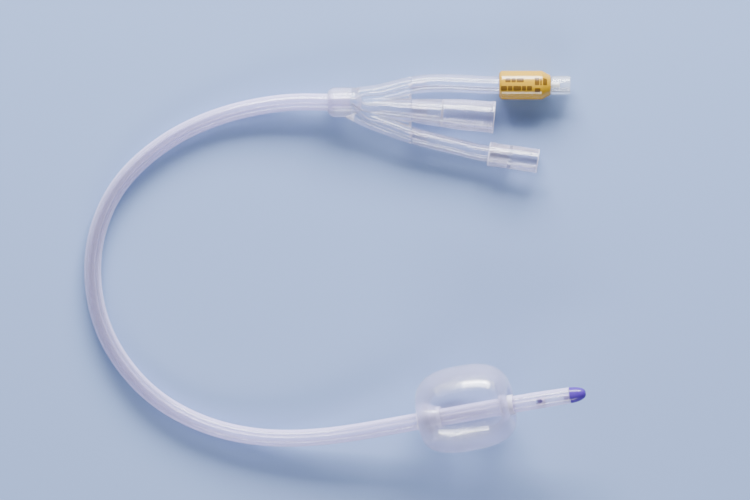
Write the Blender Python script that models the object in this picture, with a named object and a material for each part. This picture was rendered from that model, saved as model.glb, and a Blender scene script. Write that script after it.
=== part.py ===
"""Three-way silicone balloon catheter, lying in a loose C curve on a table.

The tubing is one extrusion with three lumens: drainage, irrigation and inflation. A clear
moulded junction joins it to the drainage funnel, the inflation arm with its luer valve under
a yellow sleeve, and the irrigation arm with its stepped cuff. The far end carries the inflated
balloon, the drainage eyes and a rounded tip. X and Y lie in the table's plane, Z is up, and the
table is at Z = 0.
"""

import math

import bmesh
import bpy
import numpy as np
from mathutils import Matrix, Vector

MM = 0.001

# Fits between pieces
SEAT_GAP = 0.15 * MM
FACE_GAP = 0.20 * MM

# Tubing: 20 Fr
SHAFT_RADIUS = 3.335 * MM
SHAFT_STATION = 7.2 * MM
DRAIN_LUMEN_RADIUS = 1.70 * MM
DRAIN_LUMEN_SIDE = -0.60 * MM
FLUSH_LUMEN_HALF_WIDTH = 0.55 * MM
FLUSH_LUMEN_HALF_HEIGHT = 1.35 * MM
SEPTUM = 0.35 * MM
FILL_LUMEN_RADIUS = 0.30 * MM
FILL_LUMEN_WALL = 0.42 * MM
FILL_LUMEN_ANGLE = math.radians(115.0)

# Nose of the tubing beyond the balloon
NOSE_TAPER_LENGTH = 17.0 * MM
NOSE_RADIUS = 3.15 * MM
TIP_LENGTH = 6.3 * MM
TIP_SPIGOT_LENGTH = 2.4 * MM
TIP_FACE = 0.88
TIP_RINGS = 8
TIP_REACH_POWER = 1.15
TIP_ROUND_POWER = 0.62

# Drainage eyes and the irrigation eye, counted back from the tubing's end
EYE_LENGTH = 3.0 * MM
EYE_WIDTH = 1.7 * MM
UPPER_EYE_BACK = 11.9 * MM
LOWER_EYE_BACK = 6.5 * MM
FLUSH_EYE_BACK = 18.0 * MM
FLUSH_EYE_LENGTH = 2.4 * MM
FLUSH_EYE_WIDTH = 1.3 * MM
FILL_PORT_RADIUS = 0.35 * MM
EYE_FLOOR = 0.7 * MM
SLOT_ARC_STEPS = 6

# Balloon
BALLOON_RADIUS = 16.8 * MM
BALLOON_HALF_LENGTH = 19.0 * MM
BALLOON_FULLNESS = 2.7
BALLOON_TUCK = 6
BALLOON_RINGS = 21
BALLOON_WALL = 0.40 * MM
BALLOON_SIDE_SHIFT = 1.9 * MM
BALLOON_FROM_SHAFT_END = 41.4 * MM
NECK_WALL = 0.45 * MM
REAR_NECK_LENGTH = 9.0 * MM
FRONT_NECK_LENGTH = 5.0 * MM
NECK_OVERHANG = 0.2 * MM
BALLOON_PITCH = math.radians(10.8)
BALLOON_LIFT = 0.152 * MM

# Junction moulding
HUB_REAR_X = -2.7 * MM
HUB_FRONT_X = 30.0 * MM
HUB_Y = 62.3 * MM
COLLAR_RADIUS = 5.85 * MM
COLLAR_LENGTH = 9.8 * MM
COLLAR_REAR_RADIUS = 4.25 * MM
COLLAR_CHAMFER = 2.0 * MM
COLLAR_SHOULDER = 3.2 * MM
COLLAR_SHOULDER_RADIUS = 5.45 * MM
COLLAR_FRONT_RADIUS = 4.2 * MM
SHAFT_SEAT_DEPTH = 9.0 * MM
WEB_THICKNESS = 1.7 * MM
WEB_REAR_X = 8.0 * MM
WEB_ROWS = 6
SPIGOT_LENGTH = 6.0 * MM
SPIGOT_WALL = 0.55 * MM
SPIGOT_ROOT = 2.0 * MM
PASSAGE_BLEND = 4.4 * MM

# Drainage funnel
FUNNEL_MOUTH = (62.4 * MM, 56.4 * MM)
FUNNEL_HEADING = math.radians(-4.75)
FUNNEL_ROOT_RADIUS = 3.45 * MM
FUNNEL_MOUTH_RADIUS = 6.15 * MM
FUNNEL_RIM = 0.25 * MM
FUNNEL_RIM_LENGTH = 1.5 * MM
FUNNEL_BRANCH_START_X = 7.0 * MM
FUNNEL_FLARE_START_X = 14.0 * MM
FUNNEL_FLARE_END_X = 50.0 * MM
FUNNEL_FLARE_POWER = 1.4
FUNNEL_NECK_BORE = 2.60 * MM
FUNNEL_SOCKET_DEPTH = 20.0 * MM
FUNNEL_SOCKET_ROOT = 3.95 * MM
FUNNEL_SOCKET_MOUTH = 4.75 * MM
FUNNEL_SOCKET_RINGS = 4
FUNNEL_RING_STEP = 0.12 * MM

# Side arms
FILL_ARM_RADIUS = 3.45 * MM
FILL_ARM_BORE = 1.60 * MM
FLUSH_ARM_RADIUS = 3.30 * MM
FLUSH_ARM_BORE = 1.80 * MM
ARM_STATION = 4.4 * MM
ARM_POCKET_TAPER = 0.5 * MM

# Irrigation cuff
CUFF_START = (60.0 * MM, 42.2 * MM)
CUFF_HEADING = math.radians(-8.4)
CUFF_LENGTH = 19.7 * MM
CUFF_ROOT_RADIUS = 4.60 * MM
CUFF_MOUTH_RADIUS = 4.75 * MM
CUFF_LIP_LENGTH = 2.6 * MM
CUFF_LIP = 0.22 * MM
CUFF_LIP_EDGE = 0.5 * MM
CUFF_MOUTH_EDGE = 0.2 * MM
CUFF_TUBE_DEPTH = 8.0 * MM
CUFF_STOP_LENGTH = 1.2 * MM
CUFF_STOP_BORE = 2.0 * MM
CUFF_SOCKET_ROOT = 3.50 * MM
CUFF_SOCKET_MOUTH = 3.72 * MM

# Valve under its sleeve, along +X
VALVE_START = (64.2 * MM, 69.0 * MM)
SLEEVE_LENGTH = 20.2 * MM
SLEEVE_RADIUS = 5.65 * MM
SLEEVE_REAR_CHAMFER = 0.9 * MM
SLEEVE_NOSE_LENGTH = 3.4 * MM
SLEEVE_NOSE_RADIUS = 3.80 * MM
VALVE_NECK_RADIUS = 3.00 * MM
VALVE_NECK_LENGTH = 4.3 * MM
VALVE_HOUSING_LENGTH = 6.3 * MM
LUER_HEAD_RADIUS = 3.62 * MM
LUER_HEAD_LENGTH = 7.4 * MM
LUER_HEAD_EDGE = 0.25 * MM
LUER_MOUTH_BORE = 2.15 * MM
LUER_TAPER = 0.03
LUG_HEIGHT = 0.38 * MM
LUG_WIDTH = 2.6 * MM
LUG_LENGTH = 1.2 * MM
LUG_ROOT = 0.5 * MM
LUG_SETBACK = 0.2 * MM
SEAT_WEB = 1.1 * MM
SEAT_HOLE_RADIUS = 1.50 * MM
CHAMBER_RADIUS = 2.30 * MM
STEM_RADIUS = 0.85 * MM
STEM_TIP_RADIUS = 1.25 * MM
STEM_REACH = 3.4 * MM
STEM_HEAD_RADIUS = 1.95 * MM
STEM_HEAD_LENGTH = 0.8 * MM
STEM_TRAVEL = 1.6 * MM
STEM_TAIL_STOP = 1.4 * MM
STEM_EDGE = 0.3 * MM
SEAL_THICKNESS = 1.2 * MM
SEAL_RADIUS = 2.05 * MM
SEAL_EDGE = 0.3 * MM
SPRING_RADIUS = 1.50 * MM
SPRING_WIRE_RADIUS = 0.175 * MM
SPRING_TURNS = 5.5
SPRING_STEPS_PER_TURN = 14
SPRING_SIDES = 6
RETAINER_FLANGE_RADIUS = 3.30 * MM
RETAINER_FLANGE_LENGTH = 1.2 * MM
RETAINER_PLUG_LENGTH = 1.5 * MM
RETAINER_BORE = 0.80 * MM
BARB_COUNT = 3
BARB_LENGTH = 7.2 * MM
BARB_ROOT_RADIUS = 1.75 * MM
BARB_CREST_RADIUS = 2.10 * MM
BARB_RISE = 0.7
BARB_DROP = 0.05

# The tubing's route on the table, from the junction to the tip: x and y in mm, then the share
# of the junction's height and the share of the balloon's height at which it passes.
SHAFT_ROUTE = [
    (-13.3, 62.4, 0.88, 0.0),
    (-25.1, 61.4, 0.55, 0.0),
    (-37.0, 59.1, 0.22, 0.0),
    (-49.1, 55.3, 0.03, 0.0),
    (-61.4, 49.5, 0.0, 0.0),
    (-73.9, 40.7, 0.0, 0.0),
    (-84.0, 29.9, 0.0, 0.0),
    (-90.5, 17.8, 0.0, 0.0),
    (-93.9, 4.7, 0.0, 0.0),
    (-94.3, -7.2, 0.0, 0.0),
    (-92.5, -18.8, 0.0, 0.0),
    (-88.2, -30.4, 0.0, 0.0),
    (-81.4, -41.2, 0.0, 0.0),
    (-72.2, -51.0, 0.0, 0.002),
    (-59.9, -59.3, 0.0, 0.016),
    (-46.3, -64.9, 0.0, 0.051),
    (-32.6, -67.9, 0.0, 0.109),
    (-17.2, -68.8, 0.0, 0.207),
    (-1.7, -67.8, 0.0, 0.341),
    (13.9, -65.5, 0.0, 0.507),
    (25.6, -63.4, 0.0, 0.650),
    (33.5, -61.95, 0.0, 0.752),
    (52.1, -58.60, 0.0, 1.000),
    (70.6, -55.25, 0.0, 1.247),
    (84.2, -52.95, 0.0, 1.405),
    (97.7, -50.88, 0.0, 1.533),
]

# The side arms' routes between the junction and what they carry: x and y in mm, then the share
# of the way down from the junction's height.
FILL_ARM_ROUTE = [
    (4.8, 63.3, 0.0),
    (9.0, 64.6, 0.0),
    (16.8, 65.7, 0.1),
    (24.2, 67.5, 0.25),
    (28.9, 68.6, 0.35),
    (33.9, 69.45, 0.5),
    (41.3, 69.8, 0.7),
    (50.0, 69.55, 0.9),
    (57.0, 69.15, 1.0),
]
FLUSH_ARM_ROUTE = [
    (4.8, 59.8, 0.0),
    (9.4, 57.5, 0.0),
    (14.8, 55.0, 0.1),
    (20.3, 52.9, 0.22),
    (25.7, 50.9, 0.35),
    (31.2, 49.1, 0.48),
    (36.7, 47.7, 0.6),
    (42.1, 46.35, 0.72),
    (47.6, 45.05, 0.84),
    (53.2, 43.6, 0.95),
]

# Facets round each kind of piece
SIDES_FINE = 24
SIDES_TURNED = 20
SIDES_SHAFT = 16
SIDES_SPIGOT = 12
SIDES_LUMEN = 10
SIDES_SMALL = 8
SIDES_TINY = 6


def clear_scene():
    """Remove every object of the scene."""
    for item in list(bpy.data.objects):
        bpy.data.objects.remove(item, do_unlink=True)


def make_material(name, colour, roughness, metallic=0.0, alpha=1.0):
    """A plain material with the piece's colour and finish."""
    material = bpy.data.materials.new(name)
    material.use_nodes = True
    shader = material.node_tree.nodes["Principled BSDF"]
    shader.inputs["Base Color"].default_value = (*colour, 1.0)
    shader.inputs["Roughness"].default_value = roughness
    shader.inputs["Metallic"].default_value = metallic
    shader.inputs["Alpha"].default_value = alpha
    material.diffuse_color = (*colour, alpha)
    return material


def silicone():
    """Milky translucent silicone of the tubing and the arms."""
    return make_material("milky_silicone", (0.80, 0.80, 0.88), 0.32, alpha=0.75)


def clear_silicone():
    """Clearer silicone of the junction, the funnel and the cuff."""
    return make_material("clear_silicone", (0.84, 0.84, 0.92), 0.22, alpha=0.6)


def membrane_silicone():
    """Thin stretched silicone of the balloon."""
    return make_material("balloon_membrane", (0.78, 0.78, 0.92), 0.12, alpha=0.3)


def violet_silicone():
    """Violet-tinted silicone of the tip."""
    return make_material("violet_silicone", (0.34, 0.26, 0.78), 0.25, alpha=0.9)


def yellow_sleeve():
    """Yellow of the valve's colour-coded sleeve."""
    return make_material("yellow_sleeve", (0.84, 0.60, 0.16), 0.38)


def clear_plastic():
    """Clear rigid plastic of the luer housing."""
    return make_material("clear_plastic", (0.90, 0.90, 0.94), 0.10, alpha=0.5)


def white_plastic():
    """White plastic of the valve's inner pieces."""
    return make_material("white_plastic", (0.92, 0.91, 0.88), 0.35)


def seal_rubber():
    """Grey rubber of the valve's seal."""
    return make_material("seal_rubber", (0.30, 0.30, 0.32), 0.55)


def spring_steel():
    """Bright steel of the valve's spring."""
    return make_material("spring_steel", (0.70, 0.70, 0.72), 0.25, metallic=1.0)


class Route:
    """A smooth curve through given points, read by the distance along it.

    The curve is a natural cubic spline over the chord length. Its frame at each place has the
    side direction level with the table, to the left of the way along, and the up direction
    square to both.
    """

    SAMPLES = 4000

    def __init__(self, points):
        knots = np.array([tuple(point) for point in points], dtype=float)
        chord = np.concatenate([[0.0], np.cumsum(np.linalg.norm(np.diff(knots, axis=0), axis=1))])
        bend = self.natural_bend(chord, knots)
        where = np.linspace(0.0, chord[-1], self.SAMPLES)
        piece = np.clip(np.searchsorted(chord, where, side="right") - 1, 0, len(chord) - 2)
        span = (chord[piece + 1] - chord[piece])[:, None]
        late = ((where - chord[piece]) / span[:, 0])[:, None]
        early = 1.0 - late
        self.path = (
            early * knots[piece]
            + late * knots[piece + 1]
            + ((early**3 - early) * bend[piece] + (late**3 - late) * bend[piece + 1]) * span**2 / 6.0
        )
        steps = np.linalg.norm(np.diff(self.path, axis=0), axis=1)
        self.distance = np.concatenate([[0.0], np.cumsum(steps)])
        self.length = float(self.distance[-1])
        self.heading = np.gradient(self.path, self.distance, axis=0)

    @staticmethod
    def natural_bend(chord, knots):
        """Second derivatives at the knots, zero at both ends."""
        count = len(chord)
        matrix = np.eye(count)
        right = np.zeros_like(knots)
        for index in range(1, count - 1):
            before = chord[index] - chord[index - 1]
            after = chord[index + 1] - chord[index]
            matrix[index, index - 1 : index + 2] = before, 2.0 * (before + after), after
            right[index] = 6.0 * (
                (knots[index + 1] - knots[index]) / after - (knots[index] - knots[index - 1]) / before
            )
        return np.linalg.solve(matrix, right)

    def frame(self, distance):
        """Point, tangent, side and up at a distance, straight on past either end."""
        inside = min(max(distance, 0.0), self.length)
        point = Vector([np.interp(inside, self.distance, self.path[:, axis]) for axis in range(3)])
        along = Vector([np.interp(inside, self.distance, self.heading[:, axis]) for axis in range(3)])
        along.normalize()
        side = Vector((0.0, 0.0, 1.0)).cross(along).normalized()
        return point + along * (distance - inside), along, side, along.cross(side)

    def distance_at_x(self, x):
        """Distance at which a route that runs towards +X first reaches x."""
        return float(self.distance[int(np.argmax(self.path[:, 0] >= x))])


def ring_points(route, distance, radius, sides, side_shift=0.0, up_shift=0.0, flatten=1.0):
    """A ring of points square to the route, round or flattened across."""
    point, _, side, up = route.frame(distance)
    centre = point + side * side_shift + up * up_shift
    turn = 2.0 * math.pi / sides
    return [
        centre + side * (radius * flatten * math.cos(turn * k)) + up * (radius * math.sin(turn * k))
        for k in range(sides)
    ]


def slide_to_plane(points, direction, x):
    """Move the points along a direction until they lie in the plane of that x."""
    return [point + direction * ((x - point.x) / direction.x) for point in points]


def add_loop(bm, points):
    """Add one ring of vertices."""
    return [bm.verts.new(point) for point in points]


def join_loops(bm, first, second):
    """Join two rings with as many vertices by a band of quads."""
    count = len(first)
    for k in range(count):
        after = (k + 1) % count
        bm.faces.new((first[k], first[after], second[after], second[k]))


def skin_loops(bm, loops, closed=False):
    """Join a row of rings, and the last to the first where the row is closed."""
    for first, second in zip(loops, loops[1:]):
        join_loops(bm, first, second)
    if closed:
        join_loops(bm, loops[-1], loops[0])


def close_end(bm, loops):
    """Fill the flat end between an outer ring and the rings of its holes."""
    edges = []
    for loop in loops:
        for k, vertex in enumerate(loop):
            edges.append(bm.edges.get((vertex, loop[(k + 1) % len(loop)])))
    bmesh.ops.triangle_fill(bm, use_beauty=True, use_dissolve=False, edges=edges)


def make_object(name, bm, material, parent, sharp_degrees=35.0):
    """Turn a mesh into a named object with its material, faces out and smoothly shaded."""
    bmesh.ops.recalc_face_normals(bm, faces=bm.faces)
    mesh = bpy.data.meshes.new(name)
    bm.to_mesh(mesh)
    bm.free()
    mesh.shade_smooth()
    mesh.set_sharp_from_angle(angle=math.radians(sharp_degrees))
    if material:
        mesh.materials.append(material)
    item = bpy.data.objects.new(name, mesh)
    bpy.context.scene.collection.objects.link(item)
    item.parent = parent
    return item


def make_guide(name, bm, parent):
    """A shape that only cuts or joins another, and is no piece itself."""
    guide = make_object(name, bm, None, parent)
    guide.hide_render = True
    guide.display_type = "WIRE"
    return guide


def combine(target, operand, operation):
    """Cut the target with a guide, or join the guide to it."""
    modifier = target.modifiers.new(operand.name, "BOOLEAN")
    modifier.operation = operation
    modifier.solver = "EXACT"
    modifier.object = operand


def turned_mesh(profile, sides):
    """Turn a closed profile of (distance along Z, radius) points about the Z axis."""
    bm = bmesh.new()
    corners = [bm.verts.new((radius, 0.0, along)) for along, radius in profile]
    edges = [bm.edges.new((a, b)) for a, b in zip(corners, corners[1:] + corners[:1])]
    bmesh.ops.spin(
        bm,
        geom=corners + edges,
        cent=(0.0, 0.0, 0.0),
        axis=(0.0, 0.0, 1.0),
        angle=2.0 * math.pi,
        steps=sides,
        use_merge=True,
    )
    bmesh.ops.remove_doubles(bm, verts=bm.verts, dist=0.001 * MM)
    return bm


def aim(item, point, direction):
    """Place an object with its Z axis along a direction and its Y axis in the table's plane."""
    side = Vector((0.0, 0.0, 1.0)).cross(direction).normalized()
    turn = Matrix((direction.cross(side), side, direction)).transposed()
    item.matrix_local = Matrix.Translation(point) @ turn.to_4x4()


def heading_vector(angle):
    """Level direction at an angle from +X."""
    return Vector((math.cos(angle), math.sin(angle), 0.0))


def junction_height():
    """Height of the junction's axis, where the funnel's rim rests on the table."""
    return FUNNEL_MOUTH_RADIUS + FUNNEL_RIM


def balloon_profile():
    """Outer outline of the balloon's body as arrays of (distance from its middle, radius).

    It is a superellipse whose ends are drawn in towards the middle near the tubing, so the
    shoulders stand over the necks. The points lie closer together towards the ends.
    """
    root = SHAFT_RADIUS + SEAT_GAP + NECK_WALL
    angle = 0.5 * math.pi * (1.0 - np.cos(np.linspace(0.0, math.pi, BALLOON_RINGS)))
    rise = np.sin(angle) ** (2.0 / BALLOON_FULLNESS)
    reach = -np.sign(np.cos(angle)) * np.abs(np.cos(angle)) ** (2.0 / BALLOON_FULLNESS)
    drawn_in = np.where(reach < 0.0, REAR_NECK_LENGTH, FRONT_NECK_LENGTH) / BALLOON_HALF_LENGTH
    along = BALLOON_HALF_LENGTH * reach * (1.0 - drawn_in * (1.0 - rise) ** BALLOON_TUCK)
    return along, root + (BALLOON_RADIUS - root) * rise


def balloon_height():
    """Height of the balloon's middle, where its pitched body rests on the table.

    The lift makes up for the tubing's slight curve inside the balloon.
    """
    along, radius = balloon_profile()
    lowest = np.max(radius * math.cos(BALLOON_PITCH) - along * math.sin(BALLOON_PITCH))
    return float(lowest) + BALLOON_LIFT


def shaft_route():
    """The tubing's centre line, from its seat in the junction to the tip's end."""
    hub_rise = junction_height() - SHAFT_RADIUS
    balloon_rise = balloon_height() - SHAFT_RADIUS
    seat_x = HUB_REAR_X + SHAFT_SEAT_DEPTH
    points = [
        Vector((seat_x, HUB_Y, junction_height())),
        Vector((0.5 * (seat_x + HUB_REAR_X), HUB_Y, junction_height())),
        Vector((HUB_REAR_X, HUB_Y, junction_height())),
    ]
    for x, y, hub_share, balloon_share in SHAFT_ROUTE:
        height = SHAFT_RADIUS + hub_share * hub_rise + balloon_share * balloon_rise
        points.append(Vector((x * MM, y * MM, height)))
    return Route(points)


def arm_route(plan, end, heading, end_height, lead_in):
    """A side arm's centre line, ending straight along what it carries."""
    drop = end_height - junction_height()
    points = [Vector((x * MM, y * MM, junction_height() + share * drop)) for x, y, share in plan]
    start = Vector((*end, end_height))
    direction = heading_vector(heading)
    for share in (0.0, 0.5, 1.0):
        points.append(start + direction * (lead_in * share))
    return Route(points)


def fill_arm_route():
    """Centre line of the inflation arm, up to the retainer's flange."""
    return arm_route(FILL_ARM_ROUTE, VALVE_START, 0.0, SLEEVE_RADIUS, fill_arm_seat())


def cuff_height():
    """Height of the cuff's axis, where its lip or its mouth rests on the table."""
    return max(CUFF_ROOT_RADIUS + CUFF_LIP, CUFF_MOUTH_RADIUS)


def flush_arm_route():
    """Centre line of the irrigation arm, up to the stop in its cuff."""
    return arm_route(FLUSH_ARM_ROUTE, CUFF_START, CUFF_HEADING, cuff_height(), CUFF_TUBE_DEPTH)


def funnel_route():
    """Centre line of the drainage branch and its funnel, straight and level."""
    direction = heading_vector(FUNNEL_HEADING)
    mouth = Vector((*FUNNEL_MOUTH, junction_height()))
    run = (FUNNEL_MOUTH[0] - FUNNEL_BRANCH_START_X) / direction.x
    return Route([mouth - direction * (run * share) for share in (1.0, 0.5, 0.0)])


def funnel_radius(route, distance):
    """Outer radius of the drainage branch and funnel: a smooth flare from root to mouth."""
    x = route.frame(distance)[0].x
    share = (x - FUNNEL_FLARE_START_X) / (FUNNEL_FLARE_END_X - FUNNEL_FLARE_START_X)
    share = min(max(share, 0.0), 1.0)
    power = FUNNEL_FLARE_POWER
    opened = share**power * (power - (power - 1.0) * share)
    return FUNNEL_ROOT_RADIUS + (FUNNEL_MOUTH_RADIUS - FUNNEL_ROOT_RADIUS) * opened


def nose_scale(route, distance):
    """Share of the full section that the tubing keeps at a distance, tapering to its end."""
    end = route.length - TIP_LENGTH
    share = (distance - (end - NOSE_TAPER_LENGTH)) / NOSE_TAPER_LENGTH
    return 1.0 - (1.0 - NOSE_RADIUS / SHAFT_RADIUS) * min(max(share, 0.0), 1.0)


def flush_lumen_side():
    """Place of the irrigation lumen beside the drainage lumen."""
    return DRAIN_LUMEN_SIDE + DRAIN_LUMEN_RADIUS + SEPTUM + FLUSH_LUMEN_HALF_WIDTH


def fill_lumen_place():
    """Side and up place of the inflation lumen within the tubing's wall."""
    reach = SHAFT_RADIUS - FILL_LUMEN_WALL - FILL_LUMEN_RADIUS
    return reach * math.cos(FILL_LUMEN_ANGLE), reach * math.sin(FILL_LUMEN_ANGLE)


def balloon_middle(route):
    """Distance along the tubing's route of the balloon's middle."""
    return route.length - TIP_LENGTH - BALLOON_FROM_SHAFT_END


def slot_cutter(name, route, distance, side, up, length, width, depth, parent):
    """A stadium-shaped cutter that enters the tubing from one side.

    side and up give the direction it comes from; its outline runs along the tubing.
    """
    point, along, across, above = route.frame(distance)
    outward = (across * side + above * up).normalized()
    wide = along.cross(outward)
    bm = bmesh.new()
    outline = []
    for end in (1.0, -1.0):
        centre = end * 0.5 * (length - width)
        for k in range(SLOT_ARC_STEPS + 1):
            turn = math.pi * (k / SLOT_ARC_STEPS - 0.5)
            x = centre + end * 0.5 * width * math.cos(turn)
            outline.append((x, end * 0.5 * width * math.sin(turn)))
    floor = [point + outward * depth + along * x + wide * y for x, y in outline]
    top = [corner + outward * (2.0 * SHAFT_RADIUS) for corner in floor]
    loops = [add_loop(bm, floor), add_loop(bm, top)]
    skin_loops(bm, loops)
    close_end(bm, loops[:1])
    close_end(bm, loops[1:])
    return make_guide(name, bm, parent)


def build_shaft(route, parent):
    """The three-lumen tubing, with its eyes and the balloon's filling port cut into it."""
    end = route.length - TIP_LENGTH
    stations = np.linspace(FACE_GAP, end, max(12, round(end / SHAFT_STATION)))
    fill_end = balloon_middle(route) + 2.0 * FILL_PORT_RADIUS
    fill_side, fill_up = fill_lumen_place()
    flatten = FLUSH_LUMEN_HALF_WIDTH / FLUSH_LUMEN_HALF_HEIGHT
    bm = bmesh.new()
    outer, drain, flush = [], [], []
    for distance in stations:
        scale = nose_scale(route, distance)
        outer.append(add_loop(bm, ring_points(route, distance, SHAFT_RADIUS * scale, SIDES_SHAFT)))
        ring = ring_points(
            route, distance, DRAIN_LUMEN_RADIUS * scale, SIDES_LUMEN, DRAIN_LUMEN_SIDE * scale
        )
        drain.append(add_loop(bm, ring))
        ring = ring_points(
            route,
            distance,
            FLUSH_LUMEN_HALF_HEIGHT * scale,
            SIDES_SMALL,
            flush_lumen_side() * scale,
            flatten=flatten,
        )
        flush.append(add_loop(bm, ring))
    fill = []
    for distance in [*stations[stations < fill_end - FILL_PORT_RADIUS], fill_end]:
        ring = ring_points(route, distance, FILL_LUMEN_RADIUS, SIDES_TINY, fill_side, fill_up)
        fill.append(add_loop(bm, ring))
    for loops in (outer, drain, flush, fill):
        skin_loops(bm, loops)
    close_end(bm, [outer[0], drain[0], flush[0], fill[0]])
    close_end(bm, [outer[-1], drain[-1], flush[-1]])
    close_end(bm, [fill[-1]])
    shaft = make_object("catheter_shaft", bm, silicone(), parent)

    drain_side = DRAIN_LUMEN_SIDE / SHAFT_RADIUS
    eyes = [
        ("upper_eye_cut", end - UPPER_EYE_BACK, drain_side, 1.0, EYE_LENGTH, EYE_WIDTH),
        ("lower_eye_cut", end - LOWER_EYE_BACK, drain_side, -1.0, EYE_LENGTH, EYE_WIDTH),
    ]
    for name, distance, side, up, length, width in eyes:
        cutter = slot_cutter(name, route, distance, side, up, length, width, EYE_FLOOR, parent)
        combine(shaft, cutter, "DIFFERENCE")
    cutter = slot_cutter(
        "irrigation_eye_cut",
        route,
        end - FLUSH_EYE_BACK,
        1.0,
        0.0,
        FLUSH_EYE_LENGTH,
        FLUSH_EYE_WIDTH,
        flush_lumen_side(),
        parent,
    )
    combine(shaft, cutter, "DIFFERENCE")
    port = 2.0 * FILL_PORT_RADIUS
    depth = math.hypot(fill_side, fill_up)
    middle = balloon_middle(route)
    cutter = slot_cutter("fill_port_cut", route, middle, fill_side, fill_up, 1.01 * port, port, depth, parent)
    combine(shaft, cutter, "DIFFERENCE")
    return shaft


def build_tip(route, parent):
    """The solid rounded tip, with a spigot in the end of the drainage lumen."""
    start = route.length - TIP_LENGTH
    scale = nose_scale(route, start)
    spigot = DRAIN_LUMEN_RADIUS * scale - SEAT_GAP
    shift = DRAIN_LUMEN_SIDE * scale
    round_part = TIP_LENGTH - FACE_GAP
    bm = bmesh.new()
    loops = [
        add_loop(bm, ring_points(route, start - TIP_SPIGOT_LENGTH, spigot, SIDES_SHAFT, shift)),
        add_loop(bm, ring_points(route, start + FACE_GAP, spigot, SIDES_SHAFT, shift)),
    ]
    for angle in np.linspace(0.0, 0.5 * math.pi, TIP_RINGS)[:-1]:
        distance = start + FACE_GAP + round_part * math.sin(angle) ** TIP_REACH_POWER
        narrowing = TIP_FACE + (1.0 - TIP_FACE) * math.cos(angle)
        radius = NOSE_RADIUS * narrowing * math.cos(angle) ** TIP_ROUND_POWER
        loops.append(add_loop(bm, ring_points(route, distance, radius, SIDES_SHAFT)))
    skin_loops(bm, loops)
    close_end(bm, loops[:1])
    close_end(bm, loops[-1:])
    return make_object("catheter_tip", bm, violet_silicone(), parent, 50.0)


def build_balloon(route, parent):
    """The inflated balloon: a thin sleeve bonded to the tubing at both necks."""
    along, radius = balloon_profile()
    bore = SHAFT_RADIUS + SEAT_GAP
    slope_along = np.gradient(along)
    slope_radius = np.gradient(radius)
    size = np.hypot(slope_along, slope_radius)
    inner_along = along + BALLOON_WALL * slope_radius / size
    inner_radius = np.maximum(radius - BALLOON_WALL * slope_along / size, bore + 0.5 * NECK_WALL)
    root = radius[0]
    rear = -BALLOON_HALF_LENGTH - NECK_OVERHANG
    front = BALLOON_HALF_LENGTH + NECK_OVERHANG
    outline = [(rear, root), *zip(along, radius), (front, root), (front, bore)]
    outline += [(inner_along[-1], bore), *reversed(list(zip(inner_along, inner_radius)))]
    outline += [(inner_along[0], bore), (rear, bore)]
    middle = balloon_middle(route)
    bm = bmesh.new()
    loops = []
    for distance, size in outline:
        shift = BALLOON_SIDE_SHIFT * min(max((size - root) / (BALLOON_RADIUS - root), 0.0), 1.0)
        loops.append(add_loop(bm, ring_points(route, middle + distance, size, SIDES_FINE, shift)))
    skin_loops(bm, loops, closed=True)
    return make_object("balloon", bm, membrane_silicone(), parent, 60.0)


def swept_guide(name, route, start, end, radii, sides, parent):
    """A round bar along a route, its radius passing smoothly through the given radii."""
    bm = bmesh.new()
    count = max(5, round((end - start) / ARM_STATION) + 1)
    loops = []
    for share in np.linspace(0.0, 1.0, count):
        radius = float(np.interp(share, np.linspace(0.0, 1.0, len(radii)), radii))
        ring = ring_points(route, start + share * (end - start), radius, sides)
        loops.append(add_loop(bm, ring))
    skin_loops(bm, loops)
    close_end(bm, loops[:1])
    close_end(bm, loops[-1:])
    return make_guide(name, bm, parent)


def web_guide(fill_route, flush_route, parent):
    """The flat web between the junction's branches."""
    rows = np.linspace(WEB_REAR_X, HUB_FRONT_X + MM, WEB_ROWS)
    upper = [fill_route.frame(fill_route.distance_at_x(x))[0] for x in rows]
    lower = [flush_route.frame(flush_route.distance_at_x(x))[0] for x in reversed(rows)]
    bm = bmesh.new()
    loops = []
    for lift in (-0.5 * WEB_THICKNESS, 0.5 * WEB_THICKNESS):
        height = junction_height() + lift
        loops.append(add_loop(bm, [Vector((p.x, p.y, height)) for p in upper + lower]))
    skin_loops(bm, loops)
    close_end(bm, loops[:1])
    close_end(bm, loops[1:])
    return make_guide("hub_web", bm, parent)


def passage(name, start, route, radii, parent):
    """The channel from one of the tubing's lumens to the end of that branch's spigot."""
    join = route.distance_at_x(HUB_REAR_X + SHAFT_SEAT_DEPTH + PASSAGE_BLEND)
    finish = route.distance_at_x(HUB_FRONT_X) + SPIGOT_LENGTH + MM
    along = [route.frame(distance)[0] for distance in np.linspace(join, finish, 5)]
    back = Vector((2.0 * SEAT_GAP, 0.0, 0.0))
    channel = Route([start - back, start + back, *along])
    return swept_guide(name, channel, 0.0, channel.length, radii, SIDES_LUMEN, parent)


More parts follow.
